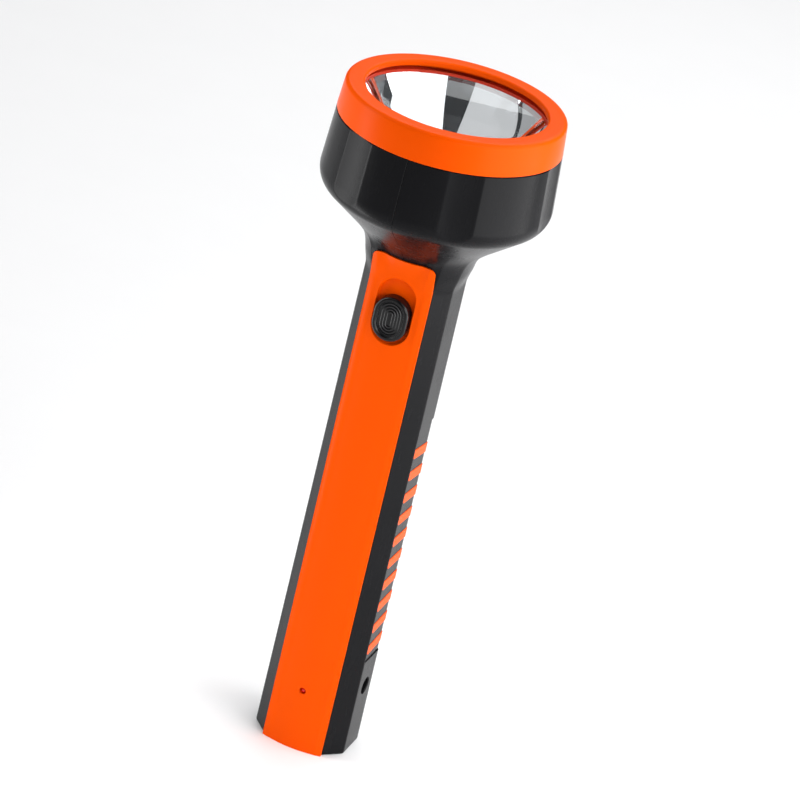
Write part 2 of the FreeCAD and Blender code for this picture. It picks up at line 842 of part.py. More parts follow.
def make_shells():
    blank = make_shell_blank()
    for side, name in ((1, "right_body_shell"), (-1, "left_body_shell")):
        half = box("half_space_" + name, (dim(0), dim(60)) if side > 0 else (dim(-60), dim(0)),
                   (dim(-60), dim(60)), (dim(-5), TORCH_TOP + 5))
        shell = common(name + "_blank", blank, half)
        added = []
        removed = []
        for index, (y, z) in enumerate(BOSSES):
            reach = boss_reach(z)
            label = "%s_boss_%d" % (name, index)
            start = dim(0) if side > 0 else -reach
            added.append(rod(label, S.boss_radius, reach, "x", x=start, y=y, z=z))
            if side > 0:
                removed.append(rod(label + "_hole", S.screw_shank, S.screw_length, "x",
                                   x=dim(-5), y=y, z=z))
            else:
                removed.append(rod(label + "_hole", S.screw_shank + 0.2, 30, "x", x=dim(-28), y=y, z=z))
                removed.append(rod(label + "_sink", S.screw_head + 0.3, 30, "x",
                                   x=head_seat(z) - 30, y=y, z=z))
        if side > 0:
            for level in (S.board_bottom + S.board_screw_inset, BOARD_TOP - S.board_screw_inset):
                label = "board_stand_%d" % int(level.value)
                added.append(rod(label, S.small_head + 0.5, S.board_standoff + S.wall / 2, "y",
                                 x=S.board_screw_x, y=INNER_FRONT - S.wall / 2, z=level))
                removed.append(rod(label + "_hole", S.small_shank, S.board_standoff, "y",
                                   x=S.board_screw_x, y=INNER_FRONT, z=level))
        keep(name, cut(name + "_finished", join(name + "_bossed", shell, *added), *removed))


def boss_reach(z):
    """How far a boss runs from the middle plane into the side wall."""
    return side_at(z) - S.wall / 2


def head_seat(z):
    """Where a body screw's head sits, measured from the middle plane on the left."""
    return -side_at(z) + S.screw_head_thick + 1.2


def make_body_screws():
    screws = []
    for index, (y, z) in enumerate(BOSSES):
        screws.append(screw("body_screw_%d" % index, "x", S.screw_shank, S.screw_head,
                            S.screw_head_thick, S.screw_length, head_seat(z), y, z))
    keep("body_screws", group("body_screw_set", *screws))


# ---------------------------------------------------------------- front panel

def make_panel():
    half = S.front_half_width
    inner = half - S.panel_shoulder
    section = pad("panel_section", "XY_Plane", [
        (half, dim(-8)),
        (-half, dim(-8)),
        (-half, PANEL_EDGE, S.shoulder_curve, 1),
        (-inner, PANEL_FACE + S.panel_dip, S.crown_curve, 1),
        (inner, PANEL_FACE + S.panel_dip, S.shoulder_curve, 1),
        (half, PANEL_EDGE),
    ], dim(0), PANEL_TOP + 1)
    blank = common("panel_blank",
                   join("panel_form", section, flare("panel_flare", S.panel_edge + 0.35)),
                   pad("panel_outline_block", "XZ_Plane", panel_outline(dim(0)), dim(8), dim(20)))
    seat = join("panel_back_core",
                box("panel_back_block", (-30, dim(30)), (PANEL_SEAT, dim(30)), (dim(-5), PANEL_TOP + 5)),
                flare("panel_back_flare", -S.panel_seat))
    posts = []
    for name, level in (("low", LOW_POST), ("high", HIGH_POST)):
        posts.append(rod("panel_post_" + name, S.post_radius, SWITCH_FRONT - FRONT + 0.4, "y",
                         y=FRONT - 0.4, z=level))
    posted = join("panel_posted", cut("panel_skin", blank, seat), *posts)
    recess = pad("panel_recess", "XZ_Plane", lozenge(S.recess_half_width, RECESS_FOOT, RECESS_TOP),
                 -RECESS_FLOOR, dim(10))
    slot = box("panel_slot", (-S.stem_width / 2 - S.stem_gap, S.stem_width / 2 + S.stem_gap),
               (dim(-25), dim(-10)),
               (KNOB_Z - S.stem_length / 2 - S.stem_gap,
                KNOB_Z + S.stem_length / 2 + S.switch_travel + S.stem_gap))
    eye = rod("panel_eye", S.indicator_radius + 0.15, 12, "y", y=dim(-22), z=S.indicator_z)
    taps = []
    for name, level in (("low", LOW_POST), ("high", HIGH_POST)):
        taps.append(rod("panel_tap_" + name, S.small_shank, S.wall, "y",
                        y=SWITCH_FRONT - S.wall, z=level))
    keep("front_panel", cut("panel_finished", posted, recess, slot, eye, *taps))


# ---------------------------------------------------------------- thumb switch

def make_switch():
    knob = pad("knob_blank", "XZ_Plane", lozenge(S.knob_half_width, KNOB_FOOT, KNOB_TOP),
               -KNOB_BACK, KNOB_BACK - KNOB_FACE)
    doc.recompute()
    blank = knob.Tip
    top = ["Edge%d" % (index + 1) for index, edge in enumerate(blank.Shape.Edges)
           if abs(edge.BoundBox.YMin - KNOB_FACE.value) < 0.01
           and abs(edge.BoundBox.YMax - KNOB_FACE.value) < 0.01]
    rounded = knob.newObject("PartDesign::Chamfer", "knob_bevel")
    rounded.Base = (blank, top)
    bind(rounded, Size=S.knob_round)
    rings = []
    for index in range(3):
        outer = S.knob_half_width - S.knob_round - S.knob_ring * (2.2 * index + 1)
        inner = outer - S.knob_ring
        rings.append(pad("knob_ring_%d" % index, "XZ_Plane",
                         lozenge(outer, KNOB_Z - outer - 2.6, KNOB_Z + outer + 2.6),
                         -KNOB_FACE - 0.3, dim(2),
                         [lozenge(inner, KNOB_Z - inner - 2.6, KNOB_Z + inner + 2.6)]))
    half = S.stem_width / 2
    low, high = KNOB_Z - S.stem_length / 2, KNOB_Z + S.stem_length / 2
    socket = box("knob_socket", (-half, half), (KNOB_BACK - 1.4, dim(-10)), (low, high))
    keep("switch_knob", cut("knob_finished", knob, socket, *rings))

    block = box("slider_block", (-S.slider_half_width, S.slider_half_width),
                (SWITCH_FRONT, SLIDER_BACK), (SLIDER_FOOT, SLIDER_TOP))
    stem = box("slider_stem", (-half, half), (KNOB_BACK - 1.4, SLIDER_BACK - 1), (low, high))
    keep("switch_slider", join("slider", block, stem))
    keep("switch_contact", box("contact_bar", (-half, half), (SLIDER_BACK, SLIDER_BACK + S.switch_clear),
                               (SLIDER_FOOT + 1, SLIDER_TOP - 1)))

    outer = box("housing_block", (-HOUSING_HALF, HOUSING_HALF), (SWITCH_FRONT, HOUSING_BACK),
                (HOUSING_FOOT - S.switch_wall, HOUSING_TOP + S.switch_wall))
    flange = box("housing_flange", (-HOUSING_HALF, HOUSING_HALF),
                 (SWITCH_FRONT, SWITCH_FRONT + S.switch_wall),
                 (LOW_POST - 1.5 * S.post_radius, HIGH_POST + S.post_radius))
    chamber = box("housing_chamber",
                  (-S.slider_half_width - S.switch_clear, S.slider_half_width + S.switch_clear),
                  (dim(-20), CHAMBER_BACK), (HOUSING_FOOT, HOUSING_TOP))
    pins, pin_holes = [], []
    for index in (-1, 0, 1):
        level = (HOUSING_FOOT + HOUSING_TOP) / 2 + S.terminal_pitch * index
        pins.append(rod("terminal_%d" % (index + 1), S.terminal_radius, HOUSING_BACK - CHAMBER_BACK + 3,
                        "y", y=CHAMBER_BACK, z=level))
        pin_holes.append(rod("terminal_hole_%d" % (index + 1), S.terminal_radius + 0.02, 9, "y",
                             y=CHAMBER_BACK - 1, z=level))
    screws = []
    for name, level in (("low", LOW_POST), ("high", HIGH_POST)):
        pin_holes.append(rod("housing_hole_" + name, S.small_shank + 0.1, 20, "y", y=dim(-20), z=level))
        screws.append(switch_screw("switch_screw_" + name, level))
    keep("switch_housing", cut("housing", join("housing_form", outer, flange), chamber, *pin_holes))
    keep("switch_terminals", group("terminal_row", *pins))
    keep("switch_screws", group("switch_screw_pair", *screws))


def switch_screw(name, level):
    """A screw from behind that holds the switch housing on a post of the front panel."""
    seat = SWITCH_FRONT + S.switch_wall
    shank = rod(name + "_shank", S.small_shank, S.switch_wall + S.wall, "y",
                y=SWITCH_FRONT - S.wall, z=level)
    cap = rod(name + "_cap", S.small_head, S.small_head_thick, "y", y=seat, z=level)
    slots = []
    for which in (0, 1):
        wide, slim = S.small_head * 0.65, S.small_head * 0.15
        across, up = (wide, slim) if which else (slim, wide)
        slots.append(box("%s_cross_%d" % (name, which), (-across, across),
                         (seat + S.small_head_thick * 0.5, seat + S.small_head_thick + 1),
                         (level - up, level + up)))
    return cut(name, join(name + "_blank", shank, cap), *slots)


# ---------------------------------------------------------------- grips

def make_grips():
    envelope = handle("grip_envelope", side_inset=S.grip_sink - S.grip_proud)
    core = handle("grip_core", inset=S.wall + S.spine_thick)
    inner = handle("grip_backing", inset=S.wall)
    bars = common("grip_bars", join("grip_bar_set", *rib_bars("rib", S.rib_gap)),
                  grip_slot_zone(S.rib_gap), envelope)
    spine_zone = box("spine_zone", (dim(-30), dim(30)), (dim(-6), dim(9)),
                     (S.grip_bottom + 1, S.grip_top - 3))
    spine = common("grip_spine", inner, spine_zone)
    both = cut("grip_both", join("grip_joined", bars, spine), core)
    for side, name in ((1, "right_grip_insert"), (-1, "left_grip_insert")):
        space = box("grip_space_" + name, (dim(10), dim(30)) if side > 0 else (dim(-30), dim(-10)),
                    (dim(-20), dim(20)), (dim(0), S.handle_length))
        keep(name, common(name + "_half", both, space))


# ---------------------------------------------------------------- electronics

def make_electronics():
    half = S.board_half_width
    board = box("board_plate", (-half, half), (BOARD_FRONT, BOARD_BACK), (S.board_bottom, BOARD_TOP))
    holes, screws = [], []
    for name, level in (("low", S.board_bottom + S.board_screw_inset),
                        ("high", BOARD_TOP - S.board_screw_inset)):
        holes.append(rod("board_hole_" + name, S.small_shank + 0.1, 10, "y",
                         x=S.board_screw_x, y=BOARD_FRONT - 2, z=level))
        shank = rod("board_screw_shank_" + name, S.small_shank, S.board_thick + S.board_standoff - 0.2,
                    "y", x=S.board_screw_x, y=INNER_FRONT + 0.2, z=level)
        cap = rod("board_screw_cap_" + name, S.small_head, S.small_head_thick, "y",
                  x=S.board_screw_x, y=BOARD_BACK, z=level)
        slot = box("board_screw_slot_" + name,
                   (S.board_screw_x - S.small_head * 0.8, S.board_screw_x + S.small_head * 0.8),
                   (BOARD_BACK + S.small_head_thick * 0.5, BOARD_BACK + S.small_head_thick + 1),
                   (level - 0.25, level + 0.25))
        screws.append(cut("board_screw_" + name, join("board_screw_blank_" + name, shank, cap), slot))
    keep("main_board", cut("board_drilled", board, *holes))
    keep("board_screws", group("board_screw_pair", *screws))

    chip_half = S.chip_width / 2
    chip = box("chip_body", (S.chip_x - chip_half, S.chip_x + chip_half),
               (BOARD_BACK + 0.15, BOARD_BACK + S.chip_height), (S.chip_z, S.chip_z + S.chip_length))
    legs = []
    for index in range(4):
        z = S.chip_z + 0.4 + S.leg_pitch * index
        legs.append(box("chip_leg_%d" % index, (S.chip_x - chip_half - 1, S.chip_x + chip_half + 1),
                        (BOARD_BACK, BOARD_BACK + 0.5), (z, z + 0.5)))
    keep("charge_controller", join("controller", chip, *legs))
    coil = rod("inductor_body", S.coil_radius, S.coil_height, "y", x=S.coil_x, y=BOARD_BACK, z=S.coil_z)
    capacitor = rod("capacitor_body", S.can_radius, S.can_height, "y", x=S.can_x, y=BOARD_BACK, z=S.can_z)
    resistor = box("resistor_body", (S.chip_x - chip_half, S.chip_x), (BOARD_BACK, BOARD_BACK + 0.8),
                   (S.coil_z + 4, S.coil_z + 5.6))
    keep("board_components", group("components", coil, capacitor, resistor))

    tip = PANEL_FACE + S.indicator_sink
    stalk = rod("indicator_barrel", S.indicator_radius, BOARD_FRONT - tip - S.indicator_radius, "y",
                y=tip + S.indicator_radius, z=S.indicator_z)
    bead = doc.addObject("Part::Sphere", "indicator_bead")
    bind(bead, Radius=S.indicator_radius)
    place(bead, y=tip + S.indicator_radius, z=S.indicator_z)
    keep("charge_indicator", join("indicator", stalk, bead))

    mouth = socket_face() - S.wall - 0.15
    width = S.socket_width / 2
    block = box("socket_block", (mouth - S.socket_length, mouth), (BOARD_BACK, S.socket_y + width),
                (S.socket_z - width, S.socket_z + width))
    bore = rod("socket_bore_hole", S.socket_bore, S.socket_mouth + 1, "x",
               x=mouth - S.socket_mouth, y=S.socket_y, z=S.socket_z)
    well = rod("socket_well", S.socket_bore - S.socket_step, S.socket_depth, "x",
               x=mouth - S.socket_depth, y=S.socket_y, z=S.socket_z)
    keep("charging_socket", cut("socket_body", block, bore, well))
    pin_length = S.socket_depth - S.socket_pin_set
    pin = rod("socket_pin_rod", S.socket_pin, pin_length - S.socket_pin, "x",
              x=mouth - S.socket_depth, y=S.socket_y, z=S.socket_z)
    nose = doc.addObject("Part::Sphere", "socket_pin_nose")
    bind(nose, Radius=S.socket_pin)
    place(nose, x=mouth - S.socket_pin_set - S.socket_pin, y=S.socket_y, z=S.socket_z)
    keep("socket_centre_pin", join("socket_pin_whole", pin, nose))


# ---------------------------------------------------------------- battery

def make_battery():
    y = S.cell_y
    can = rod("cell_can", S.cell_radius, S.cell_length - 1.2, "z", y=y, z=S.cell_bottom)
    cap = rod("cell_cap", S.cell_cap_radius, S.cell_nub + 1.4, "z", y=y, z=CELL_TOP - 1.4)
    keep("battery_cell", join("cell", can, cap))

    outer = rod("cradle_outer", S.cell_radius + S.cradle_wall + 0.1, CRADLE_TOP - CRADLE_FOOT, "z",
                y=y, z=CRADLE_FOOT)
    inner = rod("cradle_inner", S.cell_radius + 0.1, CRADLE_TOP - CRADLE_FOOT - 2 * S.cradle_end, "z",
                y=y, z=CRADLE_FOOT + S.cradle_end)
    above = box("cradle_open_side", (dim(-20), dim(20)), (dim(-20), y - 1),
                (CRADLE_FOOT - 1, CRADLE_TOP + 1))
    feet = []
    for index, level in enumerate((CRADLE_FOOT, (CRADLE_FOOT + CRADLE_TOP) / 2 - 2, CRADLE_TOP - 4)):
        feet.append(box("cradle_foot_%d" % index, (dim(-3), dim(3)),
                        (y + S.cell_radius + 0.5, S.front_half_depth - S.wall), (level, level + 4)))
    trough = cut("cradle_trough", join("cradle_form", outer, *feet), inner, above)
    keep("battery_cradle", trough)

    low = CRADLE_FOOT + S.cradle_end
    middle = (low + S.cell_bottom) / 2
    bend = S.cell_bottom - middle
    leaf = S.spring_leaf
    reach = S.spring_reach
    keep("battery_spring", pad("spring", "XZ_Plane", [
        (-reach, low),
        (reach - bend, low, bend, 1),
        (reach, middle, bend, 1),
        (reach - bend, S.cell_bottom),
        (leaf - reach, S.cell_bottom),
        (leaf - reach, S.cell_bottom - leaf),
        (reach - bend, S.cell_bottom - leaf, bend - leaf, -1),
        (reach - leaf, middle, bend - leaf, -1),
        (reach - bend, low + leaf),
        (-reach, low + leaf),
    ], -y - S.spring_width / 2, S.spring_width))
    keep("battery_plate", box("contact_plate", (dim(-4), dim(4)), (y, y + 5),
                              (CRADLE_TOP - S.cradle_end - S.plate_thick, CRADLE_TOP - S.cradle_end)))


# ---------------------------------------------------------------- inner leads

def lead_path(points):
    """Straight runs joined by tangent arcs, each arc as large as its two runs allow."""
    edges = []
    radii = []
    start = points[0]
    for before, corner, after in zip(points, points[1:], points[2:]):
        into = (corner - before).normalize()
        out = (after - corner).normalize()
        half_turn = into.getAngle(out) / 2
        setback = 0.45 * min(before.distanceToPoint(corner), after.distanceToPoint(corner))
        radius = setback / math.tan(half_turn)
        first = corner - into * setback
        last = corner + out * setback
        inward = (out - into).normalize()
        middle = corner + inward * (radius / math.cos(half_turn) - radius)
        edges.append(Part.LineSegment(start, first).toShape())
        edges.append(Part.Arc(first, middle, last).toShape())
        radii.append(radius)
        start = last
    edges.append(Part.LineSegment(start, points[-1]).toShape())
    return Part.Wire(edges), radii


def make_lead(name, points):
    radius = SIZES["lead_radius"]
    wire, radii = lead_path([V(*p) for p in points])
    first = wire.Edges[0]
    section = Part.Wire(Part.Circle(first.valueAt(first.FirstParameter),
                                    first.tangentAt(first.FirstParameter), radius).toShape())
    tube = wire.makePipeShell([section], True, False)
    lead = doc.addObject("Part::Feature", name + "_tube")
    lead.Shape = tube
    expected = math.pi * radius * radius * wire.Length
    print("%s: length %.1f, arc radii %s, volume share %.4f"
          % (name, wire.Length, ", ".join("%.1f" % r for r in radii), tube.Volume / expected))
    if abs(tube.Volume / expected - 1) > 0.01:
        raise RuntimeError(name + " is not a full tube")
    keep(name, lead)


def make_leads():
    touch = SIZES["lead_radius"]
    duct_x = SIZES["duct_x"]
    duct_y = -SIZES["fin_pitch"] / 2
    pin_y = (HOUSING_BACK + 3).value - touch
    pin_x = SIZES["terminal_radius"]
    mid = ((HOUSING_FOOT + HOUSING_TOP) / 2).value
    pitch = SIZES["terminal_pitch"]
    post = POST_TOP.value
    fins = (SINK_FOOT - S.fin_height).value
    face = BOARD_BACK.value + touch
    top = BOARD_TOP.value
    make_lead("lamp_lead_live", [
        (duct_x, duct_y, post), (duct_x, duct_y, fins - 3), (5.4, duct_y + 0.8, mid + 1.8 * pitch),
        (pin_x + 3.2, pin_y, mid + pitch), (pin_x, pin_y, mid + pitch)])
    make_lead("switch_lead", [
        (-pin_x, pin_y, mid), (-pin_x - 3.2, pin_y, mid), (-5.2, pin_y + 0.6, mid - 9),
        (-8.2, -5.4, mid - 30), (-8.8, -6.6, mid - 68), (-8.6, -6.5, mid - 108), (-5.2, face, top - 1.4)])
    make_lead("lamp_lead_return", [
        (-duct_x, duct_y, post), (-duct_x, duct_y, fins - 3), (-7.8, -1.2, mid + 4),
        (-10.4, -1.6, mid - 22), (-12.1, -3.8, mid - 58), (-12.3, -4.8, mid - 92),
        (-10.6, -5.4, top + 12), (-8.0, face, top - 2)])
    cell_y = SIZES["cell_y"]
    over = CRADLE_TOP.value
    under = CRADLE_FOOT.value
    make_lead("battery_lead_positive", [
        (0.6, cell_y + 1.2, over + touch), (4.4, cell_y - 4.4, over + touch + 1.2),
        (8.6, -6.6, over - 6), (10.6, -6.3, over - 34), (9.6, -6.2, over - 62), (5.0, face, top - 1.4)])
    make_lead("battery_lead_negative", [
        (0, cell_y + 0.6, under - touch), (1.2, cell_y - 4.0, under - touch - 0.6),
        (1.8, face + 0.8, top - 0.6), (1.4, face, top - 4.4)])


# ---------------------------------------------------------------- build and write

def check():
    doc.recompute()
    for obj in doc.Objects:
        if "Invalid" in obj.State or "Error" in obj.State:
            raise RuntimeError("%s failed: %s" % (obj.Name, obj.State))
    for name, solid in nodes.items():
        shape = solid.Shape
        if shape.isNull() or not shape.isValid():
            raise RuntimeError(name + " has no valid shape")
        if shape.Volume <= 0:
            raise RuntimeError(name + " is empty")


def write():
    os.makedirs("parts", exist_ok=True)
    for name, solid in nodes.items():
        solid.Shape.exportStep("parts/%s.step" % name)
        print("%-24s solids %2d  volume %9.1f" % (name, len(solid.Shape.Solids), solid.Shape.Volume))


make_bezel()
make_lens()
make_reflector()
make_lamp()
make_shells()
make_body_screws()
make_panel()
make_switch()
make_grips()
make_electronics()
make_battery()
make_leads()
check()
write()
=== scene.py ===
"""Looks of a rechargeable hand torch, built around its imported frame.

Each piece or group of like pieces has an operator of its own, and the sidebar's Torch tab lists
them. All lengths are in metres, in the frame's own axes: +Z up the torch, -Y the front with the
coloured panel and the switch, +X the side with the charging socket.
"""

import math

import bmesh
import bpy
import numpy as np
from mathutils import Matrix, Vector


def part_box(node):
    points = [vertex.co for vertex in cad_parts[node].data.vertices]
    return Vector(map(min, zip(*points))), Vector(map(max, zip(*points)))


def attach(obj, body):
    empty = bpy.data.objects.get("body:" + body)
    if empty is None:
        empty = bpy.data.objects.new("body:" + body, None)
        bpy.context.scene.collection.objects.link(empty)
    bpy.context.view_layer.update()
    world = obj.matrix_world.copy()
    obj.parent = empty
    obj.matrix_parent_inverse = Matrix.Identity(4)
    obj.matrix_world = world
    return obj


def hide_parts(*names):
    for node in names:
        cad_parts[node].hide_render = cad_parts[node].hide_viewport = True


bl_info = {
    "name": "Hand torch",
    "version": (1, 0, 0),
    "blender": (4, 5, 0),
    "location": "3D View > Sidebar > Torch",
    "description": "Builds the shells, panel, switch, lamp head and stage of a hand torch",
    "category": "Object",
}

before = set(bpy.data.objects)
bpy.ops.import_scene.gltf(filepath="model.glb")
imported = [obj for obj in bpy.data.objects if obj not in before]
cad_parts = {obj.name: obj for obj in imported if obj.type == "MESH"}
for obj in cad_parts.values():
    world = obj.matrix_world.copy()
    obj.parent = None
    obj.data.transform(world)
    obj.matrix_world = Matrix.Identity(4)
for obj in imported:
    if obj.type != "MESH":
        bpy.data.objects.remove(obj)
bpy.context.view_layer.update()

MM = 0.001

# levels and reaches read from the frame
BEZEL_LOW, BEZEL_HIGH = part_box("bezel_ring")
PANEL_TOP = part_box("front_panel")[1].z
KNOB_LOW, KNOB_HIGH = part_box("switch_knob")
LENS_LOW, LENS_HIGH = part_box("lens_window")
DISH_LOW, DISH_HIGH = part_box("reflector")
CHIP_LOW, CHIP_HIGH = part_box("lamp_emitter")
SOCKET_LOW, SOCKET_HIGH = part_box("charging_socket")
EYE_LOW, EYE_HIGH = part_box("charge_indicator")
DRUM_TOP = BEZEL_LOW.z
# the head's skin stays just inside the frame's box
HEAD_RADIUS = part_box("right_body_shell")[1].y - 0.02 * MM

PANEL_FACE = -16.5 * MM
GRIP_ZONE = (39.0 * MM, 135.6 * MM)
RIB_COUNT = 10
RIB_FIRST = 42.2 * MM
RIB_PITCH = 8.92 * MM
RIB_HEIGHT = 4.1 * MM
RIB_SLANTS = (-4.0, 7.0)
RIB_SPAN = (-6.1 * MM, 9.6 * MM)
SCREW_SPOTS = ((5.0 * MM, 13.0 * MM), (3.0 * MM, 149.0 * MM), (4.5 * MM, 196.0 * MM))
SCREW_SINK = 3.0 * MM
SCREW_REACH = 3.0 * MM
SOCKET_HOLE = 3.2 * MM
EYE_HOLE = 1.4 * MM
SHELL_STEP = 0.35 * MM
DISH_CURVE = 58 * MM


# ---- settings

def setting(kind, **options):
    """A maker of settings of one kind, from each one's name, description and default."""
    return lambda name, description, default: kind(name=name, description=description,
                                                   default=default, **options)


number = setting(bpy.props.FloatProperty)
length = setting(bpy.props.FloatProperty, subtype="DISTANCE", unit="LENGTH", precision=5)
turn_angle = setting(bpy.props.FloatProperty, subtype="ANGLE", unit="ROTATION")
factor = setting(bpy.props.FloatProperty, subtype="FACTOR", min=0, max=1)
colour = setting(bpy.props.FloatVectorProperty, subtype="COLOR", size=3, min=0, max=1)


def size(name, description, millimetres):
    return length(name, description, millimetres * MM)


class TorchSizes(bpy.types.PropertyGroup):
    """Sizes of the visible skin"""

    side_base: size("Side at the base", "Half width across the sides at the base", 17.95)
    side_neck: size("Side at the neck", "Half width across the sides at the neck", 16.75)
    side_flat: size("Side flat", "Half size of a side face", 7.0)
    front_width: size("Front width", "Half width of the front and back faces", 11.8)
    front_depth: size("Front depth", "From the axis to the front and back faces", 13.9)
    corner_power: number("Corner sharpness", "Higher makes the handle's corners crisper", 130.0)
    base_bevel: size("Base bevel", "Rounding round the base", 0.9)
    wall: size("Wall", "Thickness of the shells", 2.2)
    floor: size("Floor", "Thickness of the base", 2.6)
    handle_length: size("Handle length", "From the base to where the flare begins", 187.5)
    flare_height: size("Flare height", "Height of the concave flare", 17.0)
    flare_radius: size("Flare radius", "Radius of the concave flare", 21.5)
    flare_blend: size("Flare blend", "How softly the handle's corners run into the flare", 10.0)
    cone_height: size("Cone height", "Height of the cone above the flare", 12.6)
    shoulder_height: size("Shoulder height", "Height of the rounded shoulder", 7.2)
    shoulder_inset: size("Shoulder inset", "How far the shoulder's foot is inside the drum", 3.5)
    shoulder_radius: size("Shoulder radius", "Rounding of the shoulder", 8.3)
    drum_taper: size("Drum taper", "How much narrower the drum is at the bezel", 1.4)
    flute_width: size("Flute width", "Width of each flute in the head", 12.8)
    flute_depth: size("Flute depth", "Depth of each flute", 0.85)
    seam_depth: size("Seam depth", "Depth of the parting line between the shells", 0.14)
    seam_gap: size("Seam gap", "Half the gap between the shells", 0.03)
    panel_seat: size("Panel seat", "How deep the panel's pocket is", 0.9)
    panel_edge: size("Panel edge", "How far the panel's edge stands over the face", 0.4)
    panel_shoulder: size("Panel shoulder", "Width of the rounded strip down each edge", 3.4)
    panel_dip: size("Panel dip", "How far the crown falls to the rounded strip", 1.1)
    panel_corner: size("Panel corner", "Rounding of the panel's top corners", 2.6)
    panel_gap: size("Panel gap", "Gap round the panel", 0.15)
    panel_round: size("Panel rounding", "Rounding of the panel's outer edge", 0.3)
    shoulder_curve: size("Shoulder curve", "Radius of the rounded strips", 6.5)
    crown_curve: size("Crown curve", "Radius of the panel's crown", 33.0)
    recess_width: size("Recess width", "Half width of the switch's recess", 7.1)
    recess_length: size("Recess length", "Length of the switch's recess", 25.1)
    recess_foot: size("Recess foot", "Level of the recess's lower end", 167.0)
    grip_sink: size("Grip sink", "How deep the side faces are sunk at the grip", 0.4)
    grip_front: size("Grip front", "Where the sunk face ends, in front of the axis", 6.6)
    rib_proud: size("Rib height", "How far a rib stands over the sunk face", 0.2)
    rib_gap: size("Rib gap", "Gap round each rib", 0.12)


class TorchColours(bpy.types.PropertyGroup):
    """Colours and finishes of the visible pieces"""

    orange: colour("Orange", "Panel, bezel and ribs", (0.90, 0.085, 0.0))
    black: colour("Black", "Shells", (0.006, 0.006, 0.007))
    switch_black: colour("Switch black", "Thumb switch", (0.004, 0.004, 0.0045))
    plating: colour("Plating", "Mirror plating of the reflector", (0.90, 0.91, 0.93))
    orange_roughness: factor("Orange roughness", "Roughness of the orange plastic", 0.30)
    black_roughness: factor("Black roughness", "Roughness of the black plastic", 0.26)


class TorchStage(bpy.types.PropertyGroup):
    """Camera, lights and floor"""

    camera_reach: length("Camera reach", "Level distance from the torch's axis to the camera", 1.25)
    camera_height: length("Camera height", "Height of the camera above the floor", 0.7217)
    camera_azimuth: turn_angle("Camera azimuth", "Turn of the camera from the front towards +X",
                               math.radians(16.5))
    camera_roll: turn_angle("Camera roll", "Lean of the torch in the view", math.radians(13.46))
    aim_height: length("Aim height", "Height that the camera looks at", 0.1401)
    aim_right: length("Aim offset", "How far right of the axis the camera looks", 0.0051)
    lens: number("Lens", "Focal length in millimetres", 174.15)
    floor_size: length("Floor size", "Half width of the floor", 6.0)
    floor_colour: colour("Floor colour", "Colour of the floor", (0.86, 0.86, 0.865))


# ---- mesh helpers

def add_piece(name, points, faces, material, smooth=32.0):
    """A closed mesh as a shaded object, its faces turned outwards."""
    mesh = bpy.data.meshes.new(name)
    mesh.from_pydata([tuple(p) for p in points], [], faces)
    work = bmesh.new()
    work.from_mesh(mesh)
    bmesh.ops.remove_doubles(work, verts=work.verts, dist=1e-7)
    bmesh.ops.recalc_face_normals(work, faces=work.faces)
    work.to_mesh(mesh)
    work.free()
    piece = bpy.data.objects.new(name, mesh)
    bpy.context.scene.collection.objects.link(piece)
    if material:
        mesh.materials.append(material)
    shade(piece, smooth)
    return piece


def shade(piece, smooth=32.0):
    """Smooth shading that breaks at edges sharper than an angle in degrees."""
    mesh = piece.data
    mesh.polygons.foreach_set("use_smooth", [True] * len(mesh.polygons))
    mesh.set_sharp_from_angle(angle=math.radians(smooth))


def apply_modifiers(piece):
    """Bake a piece's modifiers into its mesh."""
    graph = bpy.context.evaluated_depsgraph_get()
    made = bpy.data.meshes.new_from_object(piece.evaluated_get(graph))
    old = piece.data
    piece.modifiers.clear()
    piece.data = made
    made.name = old.name
    bpy.data.meshes.remove(old)


def round_edges(piece, width, segments=3, sharp=35.0):
    """Round every edge sharper than an angle."""
    bevel = piece.modifiers.new("edges", "BEVEL")
    bevel.width = width
    bevel.segments = segments
    bevel.limit_method = "ANGLE"
    bevel.angle_limit = math.radians(sharp)
    apply_modifiers(piece)
    shade(piece)


def joined(solids):
    """Points and faces of several solids as one."""
    points, faces = [], []
    for more_points, more_faces in solids:
        start = len(points)
        points += more_points
        faces += [[start + index for index in face] for face in more_faces]
    return points, faces


def cut_away(piece, solids):
    """Take closed solids, which stay clear of each other, out of a piece in one cut."""
    cutter = add_piece(piece.name + "_cutter", *joined(solids), None)
    boolean = piece.modifiers.new("cut", "BOOLEAN")
    boolean.operation = "DIFFERENCE"
    boolean.solver = "EXACT"
    boolean.object = cutter
    apply_modifiers(piece)
    spare = cutter.data
    bpy.data.objects.remove(cutter)
    bpy.data.meshes.remove(spare)
    shade(piece)
    require_closed(piece)


def require_closed(piece):
    """Stop if a piece's mesh has an open edge."""
    work = bmesh.new()
    work.from_mesh(piece.data)
    open_edges = [edge for edge in work.edges if len(edge.link_faces) != 2]
    work.free()
    if open_edges:
        raise RuntimeError("%s has %d open edges" % (piece.name, len(open_edges)))


def loft(loops):
    """Points and faces of a closed solid through loops of as many points each."""
    count = len(loops[0])
    points = [point for loop in loops for point in loop]
    faces = []
    for row in range(len(loops) - 1):
        for index in range(count):
            ahead = (index + 1) % count
            faces.append([row * count + index, row * count + ahead,
                          (row + 1) * count + ahead, (row + 1) * count + index])
    last = (len(loops) - 1) * count
    faces.append(list(range(count))[::-1])
    faces.append([last + index for index in range(count)])
    return points, faces


